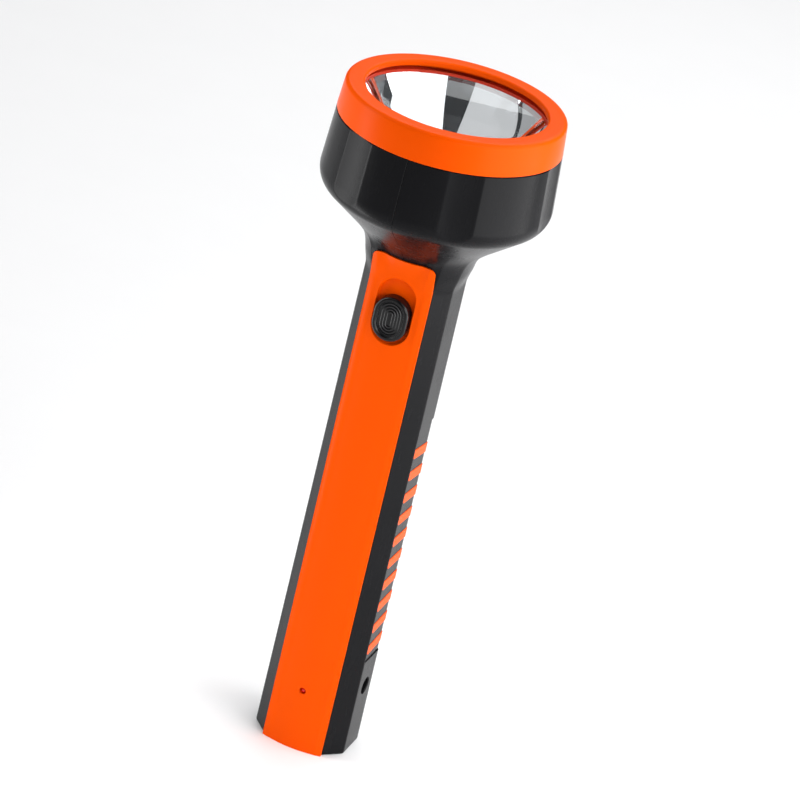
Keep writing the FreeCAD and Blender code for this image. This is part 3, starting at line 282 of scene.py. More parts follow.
def slab(fronts, backs):
    """Points and faces of a closed slab between two grids with the same rows and columns."""
    rows, columns = len(fronts), len(fronts[0])
    points = [point for row in fronts for point in row] + [point for row in backs for point in row]
    offset = rows * columns
    faces = []
    for row in range(rows - 1):
        for column in range(columns - 1):
            near = row * columns + column
            quad = [near, near + 1, near + columns + 1, near + columns]
            faces.append(quad)
            faces.append([offset + index for index in reversed(quad)])
    rim = list(range(columns)) + [row * columns + columns - 1 for row in range(1, rows)]
    rim += [(rows - 1) * columns + column for column in range(columns - 2, -1, -1)]
    rim += [row * columns for row in range(rows - 2, 0, -1)]
    for here, ahead in zip(rim, rim[1:] + rim[:1]):
        faces.append([here, offset + here, offset + ahead, ahead])
    return points, faces


def turned(profile, segments=256):
    """Points and faces of a closed outline of (radius, height) turned round the torch's axis."""
    points = []
    for step in range(segments):
        turn = 2 * math.pi * step / segments
        points += [(r * math.cos(turn), r * math.sin(turn), z) for r, z in profile]
    count = len(profile)
    faces = []
    for step in range(segments):
        here, ahead = step * count, ((step + 1) % segments) * count
        for index in range(count):
            after = (index + 1) % count
            if profile[index][0] == 0 and profile[after][0] == 0:
                continue
            faces.append([here + index, ahead + index, ahead + after, here + after])
    return points, faces


def arc(centre, radius, start, end, steps):
    """Points on an arc, angles in degrees."""
    turns = [math.radians(start + (end - start) * step / steps) for step in range(steps + 1)]
    return [(centre[0] + radius * math.cos(turn), centre[1] + radius * math.sin(turn)) for turn in turns]


def arc_between(start, end, radius, side, steps):
    """Points after start, up to end, on an arc; side +1 has its centre on the chord's left."""
    first, last = Vector(start), Vector(end)
    chord = last - first
    reach = math.sqrt(max(radius * radius - chord.length_squared / 4, 0.0))
    centre = (first + last) / 2 + Vector((-chord.y, chord.x)).normalized() * (reach * side)
    begin = math.atan2(first.y - centre.y, first.x - centre.x)
    sweep = math.atan2(last.y - centre.y, last.x - centre.x) - begin
    sweep = (sweep + math.pi) % (2 * math.pi) - math.pi
    turns = [begin + sweep * step / steps for step in range(1, steps + 1)]
    return [(centre.x + radius * math.cos(turn), centre.y + radius * math.sin(turn)) for turn in turns]


def lozenge(half_width, half_length, steps=20):
    """An upright outline with half-round ends about its middle, as (x, z) pairs."""
    straight = half_length - half_width
    return (arc((0, straight), half_width, 0, 180, steps)
            + arc((0, -straight), half_width, 180, 360, steps))


def smooth_step(low, high, value):
    share = np.clip((value - low) / (high - low), 0, 1)
    return share * share * (3 - 2 * share)


def rounding(first, second, blend):
    """What a soft corner adds where two heights come closer than a blend."""
    overlap = np.maximum(blend - np.abs(first - second), 0) / blend
    return overlap ** 2 * blend / 4


def spread(low, high, step):
    """Evenly spaced values from low up to, and with, high, about a step apart."""
    count = max(1, round((high - low) / step))
    return [low + (high - low) * index / count for index in range(count + 1)]


def finish_piece(piece, body, slot, *nodes):
    """Ride on a body and stand for CAD nodes. The slot argument is not used."""
    require_closed(piece)
    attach(piece, body)
    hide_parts(*nodes)
    return piece


def make_piece(name, solid, material, body, slot, node):
    """A finished piece that needs no cutting."""
    return finish_piece(add_piece(name, *solid, material, 40.0), body, slot, node)


# ---- shader helpers

class Wire:
    """A number on a node's socket; arithmetic on wires adds Math nodes."""

    def __init__(self, paint, socket):
        self.paint = paint
        self.socket = socket

    def math(self, operation, first, second):
        return self.paint.node("ShaderNodeMath", {"operation": operation}, {0: first, 1: second})

    def __add__(self, other):
        return self.math("ADD", self, other)

    def __radd__(self, other):
        return self.math("ADD", other, self)

    def __sub__(self, other):
        return self.math("SUBTRACT", self, other)

    def __rsub__(self, other):
        return self.math("SUBTRACT", other, self)

    def __mul__(self, other):
        return self.math("MULTIPLY", self, other)

    def __rmul__(self, other):
        return self.math("MULTIPLY", other, self)


class Paint:
    """A material's node tree while it is written."""

    def __init__(self, name):
        self.material = bpy.data.materials.get(name) or bpy.data.materials.new(name)
        self.material.use_nodes = True
        self.tree = self.material.node_tree
        self.tree.nodes.clear()

    def node(self, kind, settings=None, inputs=None, output=0):
        """A new node: its settings first, then its sockets' values or links. Gives one output."""
        made = self.tree.nodes.new(kind)
        for name, value in (settings or {}).items():
            if name == "stops":
                self.set_stops(made.color_ramp, value)
            else:
                setattr(made, name, value)
        for name, value in (inputs or {}).items():
            if isinstance(value, Wire):
                self.tree.links.new(value.socket, made.inputs[name])
            else:
                made.inputs[name].default_value = value
        return Wire(self, made.outputs[output]) if len(made.outputs) else made

    def set_stops(self, ramp, stops):
        while len(ramp.elements) > len(stops):
            ramp.elements.remove(ramp.elements[-1])
        while len(ramp.elements) < len(stops):
            ramp.elements.new(1.0)
        for element, (position, shade_value) in zip(ramp.elements, stops):
            element.position = position
            element.color = (shade_value, shade_value, shade_value, 1)

    def place(self):
        """Object coordinates in the frame's own metres."""
        return self.node("ShaderNodeTexCoord", output="Object")

    def noise(self, scale, detail=3.0, roughness=0.5, stretch=None):
        """Noise with so many features to the metre, stretched along an axis if asked."""
        where = self.place()
        if stretch is not None:
            where = self.node("ShaderNodeVectorMath", {"operation": "MULTIPLY"}, {0: where, 1: stretch})
        return self.node("ShaderNodeTexNoise", {},
                         {"Vector": where, "Scale": scale, "Detail": detail, "Roughness": roughness},
                         "Fac")

    def tint(self, amount, first, second):
        """A mix of two colours; sockets 6 and 7 of the node are its colours, output 2 its result."""
        return self.node("ShaderNodeMix", {"data_type": "RGBA"},
                         {0: amount, 6: (*first, 1), 7: (*second, 1)}, 2)

    def bump(self, height, distance, strength=1.0):
        return self.node("ShaderNodeBump", {}, {"Height": height, "Distance": distance,
                                                "Strength": strength})

    def principled(self, **inputs):
        named = {name.replace("_", " "): value for name, value in inputs.items()}
        return self.node("ShaderNodeBsdfPrincipled", {}, named)

    def output(self, shader):
        self.node("ShaderNodeOutputMaterial", {}, {"Surface": shader})
        return self.material

    def finish(self, **inputs):
        return self.output(self.principled(**inputs))


def shift(base, share):
    """A colour made lighter or darker by a share."""
    return tuple(min(1.0, max(0.0, channel * (1 + share))) for channel in base)


def moulded(name, base, roughness, grain=1.0, variation=0.05, coat=0.0, scuffs=0.06, shine=0.5):
    """Moulded plastic: cloudy colour, fine grain, flow waviness and faint handling marks."""
    paint = Paint(name)
    cloud = paint.noise(70.0, 3.0)
    speck = paint.noise(5200.0, 2.0)
    smear = paint.noise(240.0, 5.0, 0.62, (1.0, 1.0, 0.25))
    marks = paint.node("ShaderNodeValToRGB", {"stops": [(0.52, 0.0), (0.72, 1.0)]}, {"Fac": smear})
    tone = paint.tint(cloud, shift(base, -variation), shift(base, variation))
    rough = (cloud - 0.5) * 0.05 + (speck - 0.5) * 0.05 + marks * scuffs + roughness
    height = speck * 0.6 + paint.noise(90.0, 1.0) * 3.0
    normal = paint.bump(height, 0.000012 * grain, 0.5)
    return paint.finish(Base_Color=tone, Roughness=rough, Normal=normal, Coat_Weight=coat,
                        Coat_Roughness=0.12, IOR=1.5, Specular_IOR_Level=shine)


def orange_plastic(colours):
    return moulded("orange_plastic", colours.orange, colours.orange_roughness, 0.8, 0.03,
                   scuffs=0.05, shine=0.04)


def black_plastic(colours):
    return moulded("black_plastic", colours.black, colours.black_roughness, 0.6, 0.15,
                   scuffs=0.05, shine=0.1)


def switch_plastic(colours):
    return moulded("switch_black", colours.switch_black, 0.2, 0.5, 0.1, scuffs=0.04, shine=0.3)


def mirror_plating(colours):
    """Vacuum-plated mirror with the faint ripple of the moulding under it."""
    paint = Paint("mirror_plating")
    haze = paint.noise(160.0, 4.0, 0.6)
    tone = paint.tint(haze, shift(colours.plating, -0.03), shift(colours.plating, 0.02))
    normal = paint.bump(paint.noise(60.0, 2.0), 0.00002, 0.2)
    return paint.finish(Base_Color=tone, Metallic=1.0, Roughness=haze * 0.02 + 0.004, Normal=normal)


def clear_lens():
    """Clear window: it lets light through and shines at its surface."""
    paint = Paint("clear_lens")
    dust = paint.node("ShaderNodeValToRGB", {"stops": [(0.6, 0.0), (0.8, 1.0)]},
                      {"Fac": paint.noise(420.0, 6.0, 0.7)})
    facing = paint.node("ShaderNodeFresnel", {}, {"IOR": 1.3})
    clear = paint.node("ShaderNodeBsdfTransparent", {}, {"Color": (0.985, 0.99, 0.99, 1)})
    tone = paint.tint(dust, (0.92, 0.94, 0.95), (0.8, 0.8, 0.8))
    gloss = paint.principled(Base_Color=tone, Roughness=dust * 0.08 + 0.02, Metallic=1.0)
    made = paint.node("ShaderNodeMixShader", {}, {"Fac": facing * 0.08 + dust * 0.004, 1: clear, 2: gloss})
    return paint.output(made)


def metal(name, base, roughness, brushed=(1.0, 1.0, 1.0)):
    """Worked metal with brushing along an axis and a little tarnish."""
    paint = Paint(name)
    lines = paint.noise(3000.0, 2.0, 0.5, brushed)
    tarnish = paint.noise(380.0, 4.0)
    tone = paint.tint(tarnish, shift(base, -0.1), shift(base, 0.06))
    return paint.finish(Base_Color=tone, Metallic=1.0, Normal=paint.bump(lines, 0.000004, 0.6),
                        Roughness=(lines - 0.5) * 0.16 + tarnish * 0.08 + roughness)


def indicator_red():
    """Diffused red of the charge lamp."""
    paint = Paint("indicator_red")
    depth = paint.noise(900.0, 2.0)
    tone = paint.tint(depth, (0.62, 0.0, 0.0), (0.8, 0.004, 0.003))
    return paint.finish(Base_Color=tone, Roughness=depth * 0.1 + 0.12, Coat_Weight=0.4)


def lamp_phosphor():
    """Silicone dome over yellow phosphor."""
    paint = Paint("lamp_phosphor")
    grains = paint.noise(4200.0, 3.0)
    tone = paint.tint(grains, (0.86, 0.62, 0.07), (0.95, 0.80, 0.22))
    return paint.finish(Base_Color=tone, Roughness=grains * 0.08 + 0.14, Coat_Weight=0.6,
                        Coat_Roughness=0.05)


# ---- the torch's outer form

class Form:
    """The outer skin of the handle and head as a radius round the axis, from the settings."""

    def __init__(self, sizes):
        self.sizes = sizes
        self.flare_top = sizes.handle_length + sizes.flare_height
        self.cone_top = self.flare_top + sizes.cone_height
        self.drum_foot = self.cone_top + sizes.shoulder_height
        self.flare_centre = sizes.front_depth + sizes.flare_radius
        cone_end = HEAD_RADIUS - sizes.shoulder_inset
        flare_end = self.flare_radius_at(self.flare_top)
        foot, top = (cone_end, self.cone_top), (HEAD_RADIUS, self.drum_foot)
        shoulder = [foot] + arc_between(foot, top, sizes.shoulder_radius, 1, 24)
        rows = [(flare_end, self.flare_top)] + shoulder + [(HEAD_RADIUS - sizes.drum_taper, DRUM_TOP)]
        self.upper_levels = [z for _, z in rows]
        self.upper_radii = [r for r, _ in rows]

    def flare_radius_at(self, z):
        rise = min(max(z - self.sizes.handle_length, 0.0), self.sizes.flare_height)
        reach = math.sqrt(self.sizes.flare_radius ** 2 - rise ** 2)
        return self.flare_centre - reach

    def side_at(self, z):
        share = min(z, self.flare_top) / self.flare_top
        return self.sizes.side_base + (self.sizes.side_neck - self.sizes.side_base) * share

    def bell(self, z):
        """Radius of the flare and head at a level."""
        if z < self.flare_top:
            return self.flare_radius_at(z)
        return float(np.interp(z, self.upper_levels, self.upper_radii))

    def octagon(self, turn, side, inset=0.0):
        """Radius of the handle's octagon with softened corners."""
        s = self.sizes
        dx, dy = side - s.front_width, s.front_depth - s.side_flat
        facet = math.atan2(dx, dy)
        reach = math.hypot(dx, dy)
        facet_depth = (dy * s.front_width + dx * s.front_depth) / reach
        planes = [(0.0, side), (math.pi, side), (math.pi / 2, s.front_depth), (-math.pi / 2, s.front_depth)]
        planes += [(facet, facet_depth), (-facet, facet_depth),
                   (math.pi - facet, facet_depth), (math.pi + facet, facet_depth)]
        total = np.zeros_like(turn)
        for normal, depth in planes:
            total += np.maximum(np.cos(turn - normal) / (depth - inset), 0.0) ** s.corner_power
        return total ** (-1.0 / s.corner_power)

    def flutes(self, turn, z, radius):
        """The radius with the head's shallow scooped flutes taken out."""
        s = self.sizes
        if z < self.cone_top:
            return radius
        pitch = math.pi / 3
        across = np.abs((turn + pitch / 2) % pitch - pitch / 2) * HEAD_RADIUS / (s.flute_width / 2)
        drum = HEAD_RADIUS if z < self.drum_foot else self.bell(z)
        scoop = drum - s.flute_depth * (1 - across ** 2)
        cut = np.minimum(radius, scoop) - rounding(radius, scoop, 0.12 * MM)
        return np.where(across < 1.4, cut, radius)

    def radius(self, turn, z, fine=True):
        """Radius of the skin at angles round the axis and one level."""
        s = self.sizes
        side = self.side_at(z)
        plain = self.octagon(turn, side)
        if fine:
            sunk = self.octagon(turn, side - s.grip_sink)
            along = smooth_step(GRIP_ZONE[0], GRIP_ZONE[0] + 0.5 * MM, z)
            along *= 1 - smooth_step(GRIP_ZONE[1] - 0.5 * MM, GRIP_ZONE[1], z)
            y = plain * np.sin(turn)
            plain = plain + (sunk - plain) * along * smooth_step(-s.grip_front, 0.4 * MM - s.grip_front, y)
        bell = self.bell(z)
        rise = float(smooth_step(s.handle_length - 3 * MM, s.handle_length + 9 * MM, z))
        blend = s.flare_blend * rise * smooth_step(0.3 * MM, 2.6 * MM, plain - s.front_depth) + 1e-6
        radius = np.maximum(plain, bell) + rounding(plain, bell, blend)
        if z > self.cone_top:
            radius = np.full_like(turn, bell)
        if fine:
            radius = self.flutes(turn, z, radius)
        return radius

    def front_at(self, x, z):
        """How far in front of the axis the plain skin is at x, z."""
        y = self.sizes.front_depth
        if z < self.sizes.handle_length - 3 * MM:
            return y
        for _ in range(4):
            reach = float(self.radius(np.array([math.atan2(-y, x)]), z, fine=False)[0])
            y = math.sqrt(max(reach ** 2 - x ** 2, 1e-8))
        return y

    def side_x(self, y, z):
        """How far out the side face and the facets beside it are at y, z, in the sunk grip."""
        s = self.sizes
        side = self.side_at(z) - s.grip_sink
        if abs(y) <= s.side_flat:
            return side
        share = (abs(y) - s.side_flat) / (s.front_depth - s.side_flat)
        return side + (s.front_width - side) * share


# ---- shells

def shell_turns():
    """Angles of the skin's columns from front to back, closer at corners and flute edges."""
    close = []
    for corner in (22.0, 49.7):
        close += [side * (corner + 0.45 * step) for step in range(-4, 5) for side in (-1, 1)]
    half_flute = 8.86
    for middle in (-60, 0, 60):
        for edge in (-half_flute, half_flute):
            close += [middle + edge + 0.35 * step for step in range(-4, 5)]
    plain = [-90 + 1.5 * step for step in range(121)]
    kept = [turn for turn in plain if min(abs(turn - other) for other in close) > 0.5]
    turns = sorted(set(round(turn, 3) for turn in kept + close + [-89.75, 89.75]))
    spaced = turns[:1]
    for turn in turns[1:]:
        if turn - spaced[-1] > 0.12:
            spaced.append(turn)
    return np.radians(np.array(spaced))


def shell_levels(form):
    """Levels of the skin's rows, closer where it bends."""
    s = form.sizes
    bevel = [s.base_bevel * (1 - math.cos(math.radians(15 * step))) for step in range(7)]
    foot, head = [[edge + part * MM for part in (-0.5, -0.25, 0, 0.25, 0.5)] for edge in GRIP_ZONE]
    levels = bevel + spread(8 * MM, GRIP_ZONE[0] - 2 * MM, 10 * MM) + foot
    levels += spread(GRIP_ZONE[0] + 2 * MM, GRIP_ZONE[1] - 2 * MM, 10 * MM) + head
    levels += spread(GRIP_ZONE[1] + 2 * MM, s.handle_length - 2 * MM, 10 * MM)
    levels += spread(s.handle_length, form.cone_top, 0.8 * MM)
    levels += spread(form.cone_top + 0.45 * MM, form.drum_foot + 1 * MM, 0.45 * MM)
    levels += spread(form.drum_foot + 3 * MM, DRUM_TOP - 0.4 * MM, 3 * MM)
    return levels + [DRUM_TOP]


def shell_half(form):
    """Points and faces of the right shell before anything is cut in it."""
    s = form.sizes
    turns = shell_turns()
    levels = shell_levels(form)
    seam = np.zeros_like(turns)
    seam[0] = seam[-1] = s.seam_depth
    fronts, backs = [], []
    for z in levels:
        outer = form.radius(turns, z) - seam
        if z < s.base_bevel:
            drop = 1 - z / s.base_bevel
            outer = outer - s.base_bevel * (1 - math.sqrt(max(1 - drop * drop, 0.0)))
        if z == levels[-1]:
            outer = outer - SHELL_STEP
        inner_z = s.floor + z * (DRUM_TOP - s.floor) / DRUM_TOP
        inner = form.radius(turns, inner_z, fine=False) - s.wall - s.flute_depth * (z > form.drum_foot)
        if z == levels[-1]:
            inner_z = z
        fronts.append(ring_points(turns, outer, z, s.seam_gap))
        backs.append(ring_points(turns, inner, inner_z, s.seam_gap))
    fronts.insert(0, [(s.seam_gap, 0.0, 0.0)] * len(turns))
    backs.insert(0, [(s.seam_gap, 0.0, s.floor)] * len(turns))
    return slab(fronts, backs)


def ring_points(turns, radii, z, gap):
    xs = np.maximum(radii * np.cos(turns), gap)
    ys = radii * np.sin(turns)
    return [(float(x), float(y), z) for x, y in zip(xs, ys)]


def rod_solid(axis, radius, start, end, across, steps=48, flare=0.0):
    """A round solid along x or y; across is its place on the other two axes."""
    loops = []
    ends = [(start, radius), (end, radius)]
    if flare:
        ends = [(start, radius), (end - flare, radius), (end + flare, radius + 2 * flare)]
    for level, reach in ends:
        loop = []
        for step in range(steps):
            turn = 2 * math.pi * step / steps
            u = across[0] + reach * math.cos(turn)
            v = across[1] + reach * math.sin(turn)
            loop.append((level, u, v) if axis == "x" else (u, level, v))
        loops.append(loop)
    return loft(loops)


def rib_solid(form, index, gap, low_reach, high_reach, side):
    """One slanting rib, or with no gap and more reach the slot it sits in."""
    slant = math.tan(math.radians(np.interp(index, (0, RIB_COUNT - 1), RIB_SLANTS)))
    front, rear = RIB_SPAN[0] + gap, RIB_SPAN[1] - gap
    foot_round, head_round = 1.5 * MM, 0.5 * MM
    fine = [front + share * foot_round for share in (0.0, 0.04, 0.12, 0.25, 0.42, 0.65, 1.0)]
    ys = fine + spread(front + foot_round + 1 * MM, form.sizes.side_flat - 0.5 * MM, 2 * MM)
    ys += [form.sizes.side_flat, form.sizes.side_flat + 0.5 * MM, rear - 0.4 * MM, rear]
    fronts, backs = [], []
    for y in ys:
        base = RIB_FIRST + RIB_PITCH * index - y * slant
        low, high = base + gap, base + RIB_HEIGHT - gap
        inside = y - front
        if inside < foot_round:
            low += foot_round - math.sqrt(foot_round ** 2 - (foot_round - inside) ** 2)
        if inside < head_round:
            high -= head_round - math.sqrt(head_round ** 2 - (head_round - inside) ** 2)
        row_front, row_back = [], []
        for z in (low, low + 0.25 * MM, (low + high) / 2, high - 0.25 * MM, high):
            x = form.side_x(y, z)
            row_front.append((side * (x + high_reach), y, z))
            row_back.append((side * (x - low_reach), y, z))
        fronts.append(row_front)
        backs.append(row_back)
    return slab(fronts, backs)


def panel_half_width(form, z, gap):
    """Half the panel's width at a level: straight sides and rounded top corners."""
    s = form.sizes
    radius = s.panel_corner + gap
    corner = PANEL_TOP + gap - radius
    if z <= corner:
        return s.front_width + gap
    rise = min(z - corner, radius)
    return s.front_width + gap - radius + math.sqrt(max(radius ** 2 - rise ** 2, 0.0))


def panel_rows(form, gap, foot):
    """Levels of the panel's rows."""
    s = form.sizes
    radius = s.panel_corner + gap
    corner = PANEL_TOP + gap - radius
    levels = spread(foot, s.handle_length - 3 * MM, 12 * MM)
    levels += spread(s.handle_length - 1 * MM, corner, 1 * MM)
    return levels + [corner + radius * math.sin(math.radians(9 * step)) for step in range(1, 11)]


def panel_columns(form):
    """Shares of the half width, closer at the rounded strips down the edges."""
    s = form.sizes
    inner = 1 - s.panel_shoulder / s.front_width
    edge = 1 - 0.45 * MM / s.front_width
    right = spread(0.0, inner, 0.08) + spread(inner, edge, 0.025)[1:] + [1.0]
    return [-share for share in reversed(right[1:])] + right


def seat_y(form, x, z):
    """Bottom of the panel's pocket."""
    return form.sizes.panel_seat - form.front_at(x, z)


def panel_y(form, x, z):
    """Outside of the panel: a crown between two rounded strips, curling out at the top."""
    s = form.sizes
    inner = s.front_width - s.panel_shoulder
    edge_y = s.front_depth + s.panel_edge
    strip_y = -PANEL_FACE - s.panel_dip
    across = abs(x)
    if across <= inner:
        drop = s.crown_curve - math.sqrt(s.crown_curve ** 2 - across ** 2)
        out = -PANEL_FACE - drop
    else:
        chord = Vector((s.front_width - inner, edge_y - strip_y))
        reach = math.sqrt(s.shoulder_curve ** 2 - chord.length_squared / 4)
        middle = Vector(((s.front_width + inner) / 2, (edge_y + strip_y) / 2))
        centre = middle + Vector((chord.y, -chord.x)).normalized() * reach
        out = centre.y + math.sqrt(max(s.shoulder_curve ** 2 - (across - centre.x) ** 2, 0.0))
    flare = form.front_at(x, z) + 0.7 * MM
    blend = 2.2 * MM * float(smooth_step(s.handle_length - 1 * MM, s.handle_length + 7 * MM, z)) + 1e-6
    return -(max(out, flare) + float(rounding(out, flare, blend)))


def panel_solid(form, gap, foot, front):
    """The panel, or with a gap and a front far out the pocket it sits in."""
    fronts, backs = [], []
    for z in panel_rows(form, gap, foot):
        half = panel_half_width(form, z, gap)
        xs = [share * half for share in panel_columns(form)]
        fronts.append([(x, front(x, z), z) for x in xs])
        backs.append([(x, seat_y(form, x, z), z) for x in xs])
    return slab(fronts, backs)


def settings():
    """The scene's sizes, colours and stage settings."""
    return [getattr(bpy.context.scene, name) for name in GROUPS]


class TORCH_OT_shells(bpy.types.Operator):
    """Build both body shells with their flutes, pocket, slots and holes"""

    bl_idname = "torch.shells"
    bl_label = "Body shells"

    def execute(self, context):
        sizes, colours, _ = settings()
        form = Form(sizes)
        material = black_plastic(colours)
        points, faces = shell_half(form)
        for side, name in ((1, "right_body_shell"), (-1, "left_body_shell")):
            placed = [(side * x, y, z) for x, y, z in points]
            shell = add_piece(name + "_skin", placed, faces, material, 28.0)
            solids = [panel_solid(form, sizes.panel_gap, -2 * MM, lambda x, z: -40 * MM)]
            for index in range(RIB_COUNT):
                solids.append(rib_solid(form, index, 0.0, 1.6 * MM, 3 * MM, side))
            if side > 0:
                middle = (SOCKET_LOW + SOCKET_HIGH) / 2
                face = form.side_at(middle.z)
                solids.append(rod_solid("x", SOCKET_HOLE, 13 * MM, face, (0.4 * MM, middle.z),
                                        flare=0.35 * MM))
            else:
                for y, z in SCREW_SPOTS:
                    seat = -form.side_at(z) + SCREW_REACH
                    solids.append(rod_solid("x", SCREW_SINK, -25 * MM, seat, (y, z)))
            cut_away(shell, solids)
            finish_piece(shell, "torch_body", "black_plastic", name)
        return {"FINISHED"}


class TORCH_OT_panel(bpy.types.Operator):
    """Build the crowned front panel with the switch's recess and the charge lamp's hole"""

    bl_idname = "torch.panel"
    bl_label = "Front panel"

    def execute(self, context):
        sizes, colours, _ = settings()
        form = Form(sizes)
        points, faces = panel_solid(form, 0.0, 0.0, lambda x, z: panel_y(form, x, z))
        panel = add_piece("front_panel_skin", points, faces, orange_plastic(colours))
        round_edges(panel, sizes.panel_round, 3, 40.0)
        middle = sizes.recess_foot + sizes.recess_length / 2

        def ring(margin, height, base):
            """The recess's outline, wider by a margin and in front of a base, both in millimetres."""
            outline = lozenge(sizes.recess_width + margin * MM, sizes.recess_length / 2 + margin * MM, 28)
            return [(x, base(x, middle + z) - height * MM, middle + z) for x, z in outline]

        loops = [ring(margin, height, lambda x, z: -sizes.front_depth)
                 for margin, height in ((-0.7, 0.0), (-0.45, 0.12), (-0.2, 0.3), (0.0, 0.6))]
        loops += [ring(margin, height, lambda x, z: panel_y(form, x, z))
                  for margin, height in ((0.0, -0.35), (0.08, -0.15), (0.25, 0.02), (0.6, 0.25), (0.6, 6.0))]
        eye = rod_solid("y", EYE_HOLE, -10 * MM, PANEL_FACE, (0.0, (EYE_LOW.z + EYE_HIGH.z) / 2),
                        flare=-0.12 * MM)
        cut_away(panel, [loft(loops), eye])
        finish_piece(panel, "torch_body", "orange_plastic", "front_panel")
        return {"FINISHED"}


class TORCH_OT_knob(bpy.types.Operator):
    """Build the thumb switch's knob with its raised rim and oval ripples"""

    bl_idname = "torch.knob"
    bl_label = "Switch knob"

    def execute(self, context):
        _, colours, _ = settings()
        middle = (KNOB_LOW.z + KNOB_HIGH.z) / 2
        half_width = KNOB_HIGH.x
        half_length = (KNOB_HIGH.z - KNOB_LOW.z) / 2
        face, edge = KNOB_LOW.y, 1.0 * MM

        def ring(inset, y):
            return [(x, y, middle + z) for x, z in lozenge(half_width - inset, half_length - inset, 28)]

        loops = [ring(0.0, KNOB_HIGH.y)]
        for step in range(9):
            turn = math.radians(90 * step / 8)
            loops.append(ring(edge * (1 - math.cos(turn)), face + edge * (1 - math.sin(turn))))
        inset = edge
        while inset < half_width - 0.35 * MM:
            inset += 0.09 * MM
            loops.append(ring(inset, face + self.dip(inset)))
        make_piece("switch_knob_cap", loft(loops), switch_plastic(colours),
                   "switch", "switch_black", "switch_knob")
        return {"FINISHED"}

    def dip(self, inset):
        """How far the thumb face lies behind the rim, so far in from the edge."""
        well = 0.55 * MM * float(smooth_step(1.35 * MM, 1.9 * MM, inset))
        ripple = 0.17 * MM * (1 - math.cos(2 * math.pi * (inset - 1.9 * MM) / (1.05 * MM))) / 2
        return well - ripple * float(smooth_step(1.9 * MM, 2.1 * MM, inset))


class TORCH_OT_bezel(bpy.types.Operator):
    """Build the coloured bezel ring"""

    bl_idname = "torch.bezel"
    bl_label = "Bezel ring"

    def execute(self, context):
        _, colours, _ = settings()
        outer = BEZEL_HIGH.x
        top = BEZEL_HIGH.z
        rim = outer - 0.8 * MM
        window = 32.3 * MM
        seat = 36.9 * MM
        foot_round, rim_round, lip_round = 0.35 * MM, 1.6 * MM, 0.8 * MM
        profile = [(outer - foot_round, DRUM_TOP)]
        profile += arc((outer - foot_round, DRUM_TOP + foot_round), foot_round, -60, 0, 3)
        profile += arc((rim - rim_round, top - rim_round), rim_round, 3, 90, 10)
        profile += [(rim - 2.4 * MM, top), (window + 1.6 * MM, top)]
        profile += arc((window + lip_round, top - lip_round), lip_round, 90, 180, 7)
        profile += [(window, top - 1.4 * MM), (window, LENS_HIGH.z), (seat, LENS_HIGH.z), (seat, DRUM_TOP)]
        make_piece("bezel_ring_turned", turned(profile, 288), orange_plastic(colours),
                   "torch_body", "orange_plastic", "bezel_ring")
        return {"FINISHED"}


class TORCH_OT_optics(bpy.types.Operator):
    """Build the clear window, the mirror reflector and the lamp's dome"""

    bl_idname = "torch.optics"
    bl_label = "Lens, reflector and lamp"

    def execute(self, context):
        _, colours, _ = settings()
        radius = LENS_HIGH.x
        low, high = LENS_LOW.z, LENS_HIGH.z
        edge = 0.3 * MM
        profile = [(0.0, low), (radius - edge, low)] + arc((radius - edge, low + edge), edge, -60, 0, 3)
        profile += arc((radius - edge, high - edge), edge, 0, 90, 4) + [(0.0, high)]
        make_piece("lens_window_pane", turned(profile, 192), clear_lens(),
                   "torch_body", "clear_lens", "lens_window")
        self.reflector(colours)
        self.lamp()
        return {"FINISHED"}

    def reflector(self, colours):
        flange = DISH_HIGH.x
        rim, throat = 33.2 * MM, 9.0 * MM
        top, foot = DISH_HIGH.z, DISH_LOW.z
        wall = 1.4 * MM
        profile = [(throat, foot)] + arc_between((throat, foot), (rim, top), DISH_CURVE, 1, 40)
        profile += [(flange, top), (flange, top - wall), (rim + wall * 0.3, top - wall)]
        profile += arc_between((rim + wall * 0.3, top - wall), (throat + wall, foot), DISH_CURVE, -1, 24)
        make_piece("reflector_dish", turned(profile), mirror_plating(colours),
                   "torch_body", "mirror_plating", "reflector")

    def lamp(self):
        half = CHIP_HIGH.x
        base, top = CHIP_LOW.z, CHIP_HIGH.z
        dome = 1.5 * MM
        seat = top - dome
        edge = 0.15 * MM
        loops = [self.pad_ring(reach, level, 8)
                 for level, reach in ((base, half), (seat - edge, half), (seat, half - edge))]
        for step in range(0, 9):
            turn = math.radians(88 * step / 8)
            loops.append(self.pad_ring(dome * math.cos(turn), seat + dome * math.sin(turn), 2))
        make_piece("lamp_emitter_dome", loft(loops), lamp_phosphor(),
                   "torch_body", "lamp_phosphor", "lamp_emitter")

    def pad_ring(self, reach, level, power):
        """A ring from square, at a high power, to round, at two."""
        ring = []
        for step in range(64):
            turn = 2 * math.pi * step / 64
            c, s = math.cos(turn), math.sin(turn)
            scale = reach / (abs(c) ** power + abs(s) ** power) ** (1 / power)
            ring.append((c * scale, s * scale, level))
        return ring


class TORCH_OT_grips(bpy.types.Operator):
    """Build the slanting ribs of both grip inserts"""

    bl_idname = "torch.grips"
    bl_label = "Grip ribs"

    def execute(self, context):
        sizes, colours, _ = settings()
        form = Form(sizes)
        for side, name in ((1, "right_grip_insert"), (-1, "left_grip_insert")):
            solids = [rib_solid(form, index, sizes.rib_gap, 1.4 * MM, sizes.rib_proud, side)
                      for index in range(RIB_COUNT)]
            ribs = add_piece(name + "_ribs", *joined(solids), orange_plastic(colours))
            round_edges(ribs, 0.12 * MM, 2, 50.0)
            finish_piece(ribs, "torch_body", "orange_plastic", name)
        return {"FINISHED"}


